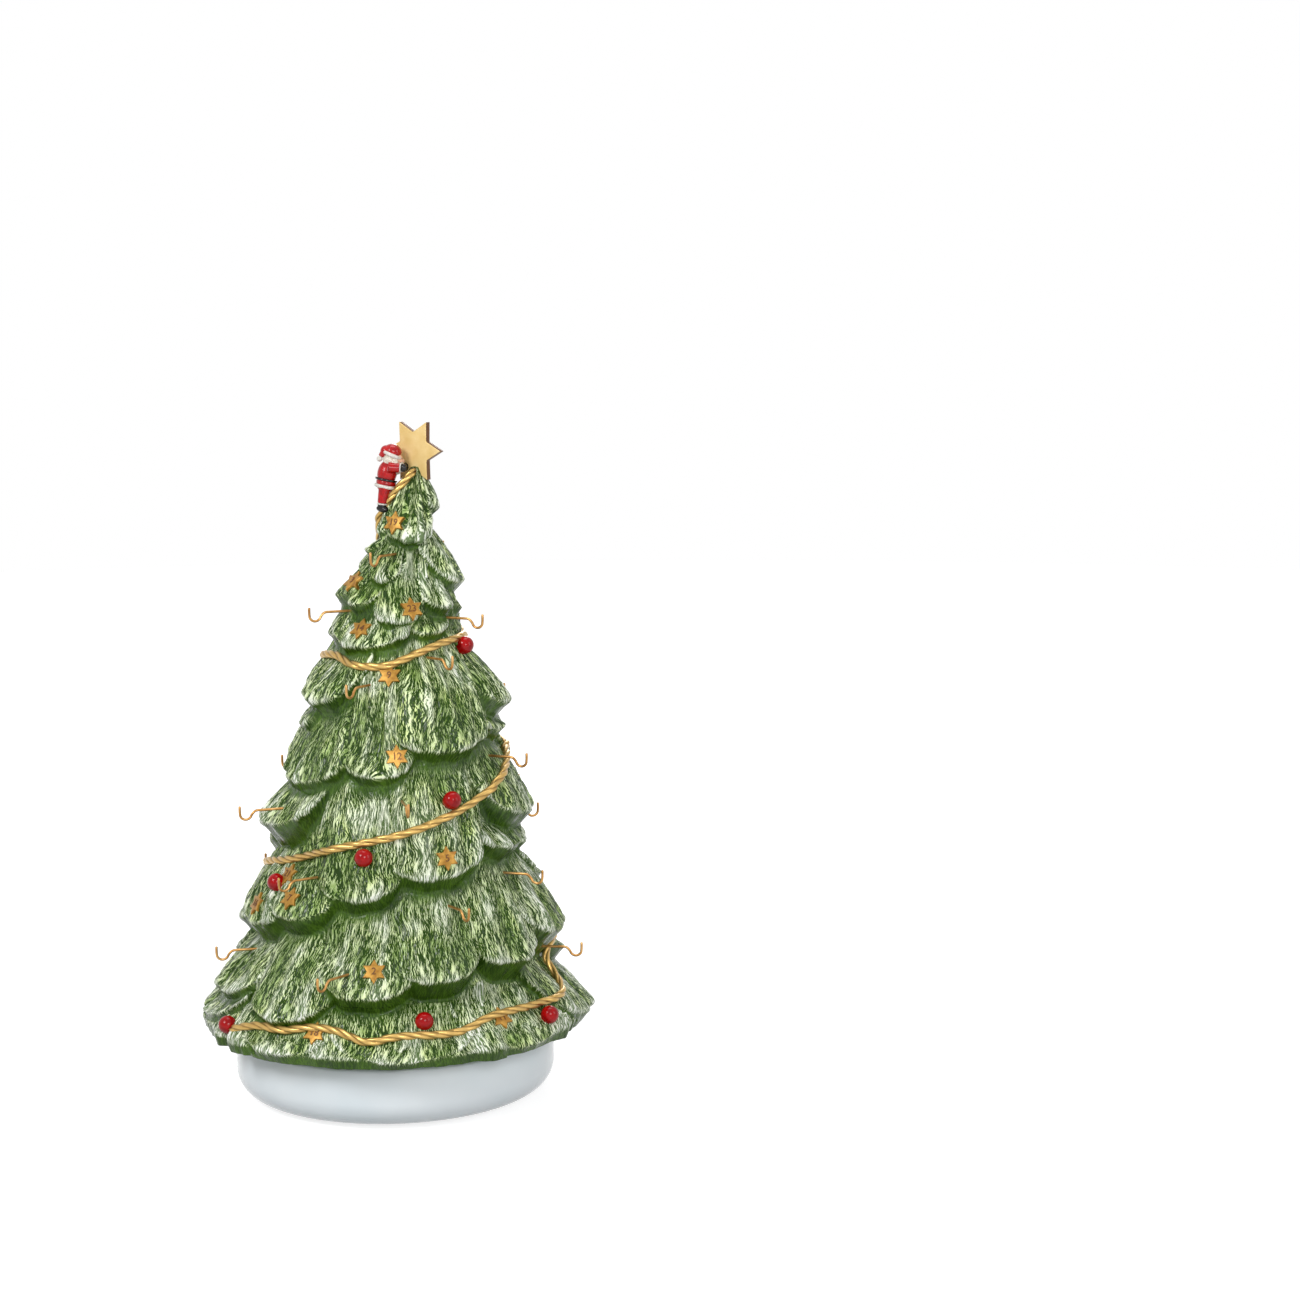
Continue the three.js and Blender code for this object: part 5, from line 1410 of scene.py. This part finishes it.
def satin_gold():
    """Burnished gold on the tip star: pale and satin, with soft clouds from the agate."""
    stops = [(0.25, "#d4b470"), (0.55, "#dfc284"), (0.8, "#e6cd97")]
    return patterned("satin_gold_on_the_top_star", 9, stops, {"Detail": 3.0}, rough=(0.5, 0.62),
                     bump=(0.15, 0.08), bump_grain_mm=0.8, Metallic=0.1, IOR=1.5, Specular_IOR_Level=0.3)


def red_glaze(trim):
    """Selenium red glaze on the balls: deep, even and mirror smooth."""
    stops = [(0.3, "#86040a"), (0.55, trim.ball_red), (0.8, "#ae080e")]
    return patterned("red_glaze_on_the_balls", 5, stops, Roughness=0.04, IOR=1.5, Specular_IOR_Level=0.2)


def brass_wire():
    """Drawn brass wire, warm and half bright, with tarnish in soft patches."""
    stops = [(0.3, "#946730"), (0.55, "#b98b4e"), (0.8, "#cfa873")]
    return patterned("drawn_brass_wire", 6, stops, {"Detail": 5.0}, rough=(0.22, 0.4), Metallic=0.7)


def white_glaze():
    """White porcelain under clear glaze: cool white, very smooth, with a faint uneven fire."""
    return patterned("white_glazed_porcelain", 45, [(0.3, "#dae3e8"), (0.7, "#e4eaee")], bump=(0.15, 0.6),
                     Roughness=0.15, IOR=1.5, Specular_IOR_Level=0.35)


def green_felt():
    """Pressed wool felt: matt, with short loose fibres."""
    return patterned("pressed_wool_felt", 0.6, [(0.3, "#22392c"), (0.7, "#3f6150")],
                     {"Detail": 4.0, "Distortion": 1.5}, bump=(0.6, 0.3), Roughness=0.95, Sheen_Weight=0.4)


def glossy_paint(name, low, high, roughness, pattern_mm):
    """Enamel paint under clear glaze, a little uneven from the brush."""
    return patterned(name, pattern_mm, [(0.3, low), (0.7, high)], {"Detail": 3.0}, bump=(0.2, 0.15),
                     Roughness=roughness, IOR=1.5, Specular_IOR_Level=0.35)


def figure_paints(colours):
    """The paint of each part of the figure."""
    red = glossy_paint("red_enamel_on_the_coat", "#8f0a0e", colours.coat, 0.25, 3)
    fur = glossy_paint("white_enamel_on_the_fur", "#bdb9ae", colours.fur, 0.4, 1.2)
    hair = glossy_paint("cream_enamel_on_the_beard", "#b9ad98", "#e9e4d8", 0.4, 1.5)
    face = glossy_paint("flesh_enamel_on_the_face", "#d59c7c", colours.skin, 0.35, 3)
    black = glossy_paint("black_enamel_on_boots_and_mittens", "#0d0c0c", "#1e1b1a", 0.2, 2)
    return {"coat": red, "trousers": red, "hat": red, "fur": fur, "hair": hair, "face": face,
            "eyes": black, "leather": black}


def turned_steel(name, low, high, roughness):
    """Zinc-plated or blackened steel, turned, with rings a fraction of a millimetre apart."""
    rings = {"wave_type": "RINGS", "rings_direction": "Z", "Distortion": 0.4}
    return patterned(name, 2, [(0.2, low), (0.8, high)], rings, "ShaderNodeTexWave", bump=(0.1, 0.05),
                     Metallic=0.95, Roughness=roughness)


def moulded(name, low, high, roughness):
    """Moulded nylon or rubber, with a fine grain of half a millimetre."""
    return patterned(name, 0.5, [(0.3, low), (0.7, high)], {"Detail": 3.0}, bump=(0.2, 0.05),
                     Roughness=roughness)


class ADVENT_TREE_OT_workings(bpy.types.Operator):
    """Gives the plate, bearing and pivot inside the base their metals and plastics"""

    bl_idname = "advent_tree.workings"
    bl_label = "Bearing and pivot"

    def execute(self, context):
        zinc = turned_steel("zinc_plated_steel", "#a4a8ad", "#c3c6ca", 0.32)
        black = turned_steel("blackened_steel", "#2b2d2f", "#44474a", 0.4)
        nylon = moulded("moulded_nylon", "#dcd9cc", "#ece9de", 0.5)
        rubber = moulded("moulded_rubber", "#1c1d1e", "#2e3031", 0.85)
        finishes = {
            "base_plate": zinc, "plate_screw": zinc, "lower_race": zinc, "upper_race": zinc,
            "bearing_ball": zinc, "turn_disc": zinc, "pivot_washer": zinc, "pivot_nut": zinc,
            "pivot_bolt": black, "ball_cage": nylon, "pivot_bush": nylon, "grip_ring": rubber,
        }
        for name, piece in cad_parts.items():
            for start, finish in finishes.items():
                if name.startswith(start):
                    piece.data.materials.clear()
                    piece.data.materials.append(finish)
        return {"FINISHED"}


# The picture

CAMERA_FOCAL = 72.0
CAMERA_DISTANCE = 1807.97
CAMERA_HEIGHT = 542.83
CAMERA_PITCH, CAMERA_YAW, CAMERA_ROLL = 0.127718, 0.100914, -0.006  # radians
FLOOR_RADIUS_M = 4
LAMP_TARGET_M = (0, 0, 0.22)
# The place and size of each lamp, in metres
LAMPS_M = {
    "key": ((-1.0, -1.0, 1.2), (0.45, 0.55)),
    "fill": ((1.3, -0.7, 0.7), (0.5, 0.8)),
    "top": ((0.1, 0.2, 1.7), (0.8, 0.8)),
    "back": ((0.3, 1.5, 0.9), (0.5, 0.5)),
    "front": ((0.3, -1.5, 0.7), (0.5, 0.5)),
}


def add_camera():
    """The camera at the picture's viewing angle."""
    deselect_all()
    bpy.ops.object.camera_add()
    camera = bpy.context.object
    camera.data.lens = CAMERA_FOCAL
    camera.data.sensor_width = 36
    camera.data.clip_end = 20
    pitch, yaw, roll = CAMERA_PITCH, CAMERA_YAW, CAMERA_ROLL
    forward = Vector((math.sin(yaw) * math.cos(pitch), math.cos(yaw) * math.cos(pitch), -math.sin(pitch)))
    level = Vector((math.cos(yaw), -math.sin(yaw), 0))
    upright = level.cross(forward)
    right = level * math.cos(roll) + upright * math.sin(roll)
    up = upright * math.cos(roll) - level * math.sin(roll)
    turned = Matrix((right, up, -forward)).transposed().to_4x4()
    camera.matrix_world = Matrix.Translation(Vector((0, -CAMERA_DISTANCE, CAMERA_HEIGHT)) * MM) @ turned
    bpy.context.scene.camera = camera


def add_lamp(name, place, size, power):
    """A large flat lamp that looks at the middle of the tree."""
    deselect_all()
    bpy.ops.object.light_add(type="AREA", location=place)
    lamp = bpy.context.object
    lamp.name = name
    lamp.data.shape = "RECTANGLE"
    lamp.data.size, lamp.data.size_y = size
    lamp.data.energy = power
    lamp.rotation_euler = (Vector(LAMP_TARGET_M) - Vector(place)).to_track_quat("-Z", "Y").to_euler()


def seen_rays(owner):
    """1 for what the camera sees, also in a reflection or through glass, and 0 for light on things."""
    path = add_node(owner, "ShaderNodeLightPath").outputs
    reflected = add_node(owner, "ShaderNodeMath", {"operation": "MAXIMUM"},
                         {0: path["Is Glossy Ray"], 1: path["Is Transmission Ray"]}).outputs[0]
    return add_node(owner, "ShaderNodeMath", {"operation": "MAXIMUM"},
                    {0: path["Is Camera Ray"], 1: reflected}).outputs[0]


def floor_white():
    """Pale studio floor: white to the camera, and grey only where the object shades it."""
    material, shader = new_material("pale_studio_floor")
    place = add_node(material, "ShaderNodeTexCoord").outputs["Object"]
    far = add_node(material, "ShaderNodeVectorMath", {"operation": "LENGTH"}, {0: place}).outputs["Value"]
    level = add_node(material, "ShaderNodeMapRange",
                     {"From Min": 0.2, "From Max": 0.75, "To Min": 0.78, "To Max": 1.0},
                     {"Value": far}).outputs["Result"]
    strength = add_node(material, "ShaderNodeMath", {"operation": "MULTIPLY"},
                        {0: seen_rays(material), 1: level}).outputs[0]
    set_sockets(shader, Base_Color=(0.42, 0.42, 0.42, 1), Roughness=0.9, Emission_Color=(1, 1, 1, 1))
    join_sockets(material, (strength, shader.inputs["Emission Strength"]))
    return material


def light_world(room_light):
    """An even light from all round, with white behind the object and in its reflections."""
    world = bpy.data.worlds.new("studio")
    bpy.context.scene.world = world
    world.use_nodes = True
    background = world.node_tree.nodes["Background"]
    background.inputs["Color"].default_value = (1, 1, 1, 1)
    strength = add_node(world, "ShaderNodeMath", {"operation": "MAXIMUM", 1: room_light},
                        {0: seen_rays(world)}).outputs[0]
    join_sockets(world, (strength, background.inputs["Strength"]))


class ADVENT_TREE_OT_stage(bpy.types.Operator):
    """Lays the floor, hangs the lamps and sets the camera"""

    bl_idname = "advent_tree.stage"
    bl_label = "Stage"

    def execute(self, context):
        settings = context.scene.advent_tree_stage
        deselect_all()
        bpy.ops.mesh.primitive_circle_add(vertices=96, radius=FLOOR_RADIUS_M, fill_type="NGON")
        floor = context.object
        floor.name = "studio_floor"
        floor.data.materials.append(floor_white())
        for name, (place, size) in LAMPS_M.items():
            add_lamp(f"{name}_lamp", place, size, getattr(settings, f"{name}_power"))
        light_world(settings.room_light)
        add_camera()
        context.scene.view_settings.view_transform = "Standard"
        return {"FINISHED"}


class ADVENT_TREE_PT_panel(bpy.types.Panel):
    """Sizes, colours and makers of the tree"""

    bl_label = "Advent Tree"
    bl_idname = "ADVENT_TREE_PT_panel"
    bl_space_type = "VIEW_3D"
    bl_region_type = "UI"
    bl_category = "Advent Tree"

    def draw(self, context):
        for attribute, group in SETTINGS.items():
            box = self.layout.box()
            box.label(text=group.__doc__)
            for name in group.__annotations__:
                box.prop(getattr(context.scene, attribute), name)
        for operator in OPERATORS:
            self.layout.operator(operator.bl_idname)


SETTINGS = {
    "advent_tree_skin": AdventTreeSkin,
    "advent_tree_trim": AdventTreeTrim,
    "advent_tree_figure": AdventTreeFigure,
    "advent_tree_stage": AdventTreeStage,
}
OPERATORS = (
    ADVENT_TREE_OT_stage,
    ADVENT_TREE_OT_base,
    ADVENT_TREE_OT_workings,
    ADVENT_TREE_OT_skin,
    ADVENT_TREE_OT_number_stars,
    ADVENT_TREE_OT_rope,
    ADVENT_TREE_OT_balls,
    ADVENT_TREE_OT_hooks,
    ADVENT_TREE_OT_top_star,
    ADVENT_TREE_OT_figure,
)


def register():
    for group in (*SETTINGS.values(), *OPERATORS, ADVENT_TREE_PT_panel):
        bpy.utils.register_class(group)
    for attribute, group in SETTINGS.items():
        setattr(bpy.types.Scene, attribute, bpy.props.PointerProperty(type=group))


def unregister():
    for attribute in SETTINGS:
        delattr(bpy.types.Scene, attribute)
    for group in (ADVENT_TREE_PT_panel, *reversed(OPERATORS), *reversed(SETTINGS.values())):
        bpy.utils.unregister_class(group)


def main():
    register()
    bpy.ops.advent_tree.stage()
    bpy.ops.advent_tree.base()
    bpy.ops.advent_tree.workings()
    bpy.ops.advent_tree.skin()
    bpy.ops.advent_tree.number_stars()
    bpy.ops.advent_tree.rope()
    bpy.ops.advent_tree.balls()
    bpy.ops.advent_tree.hooks()
    bpy.ops.advent_tree.top_star()
    bpy.ops.advent_tree.figure()


if __name__ == "__main__":
    main()
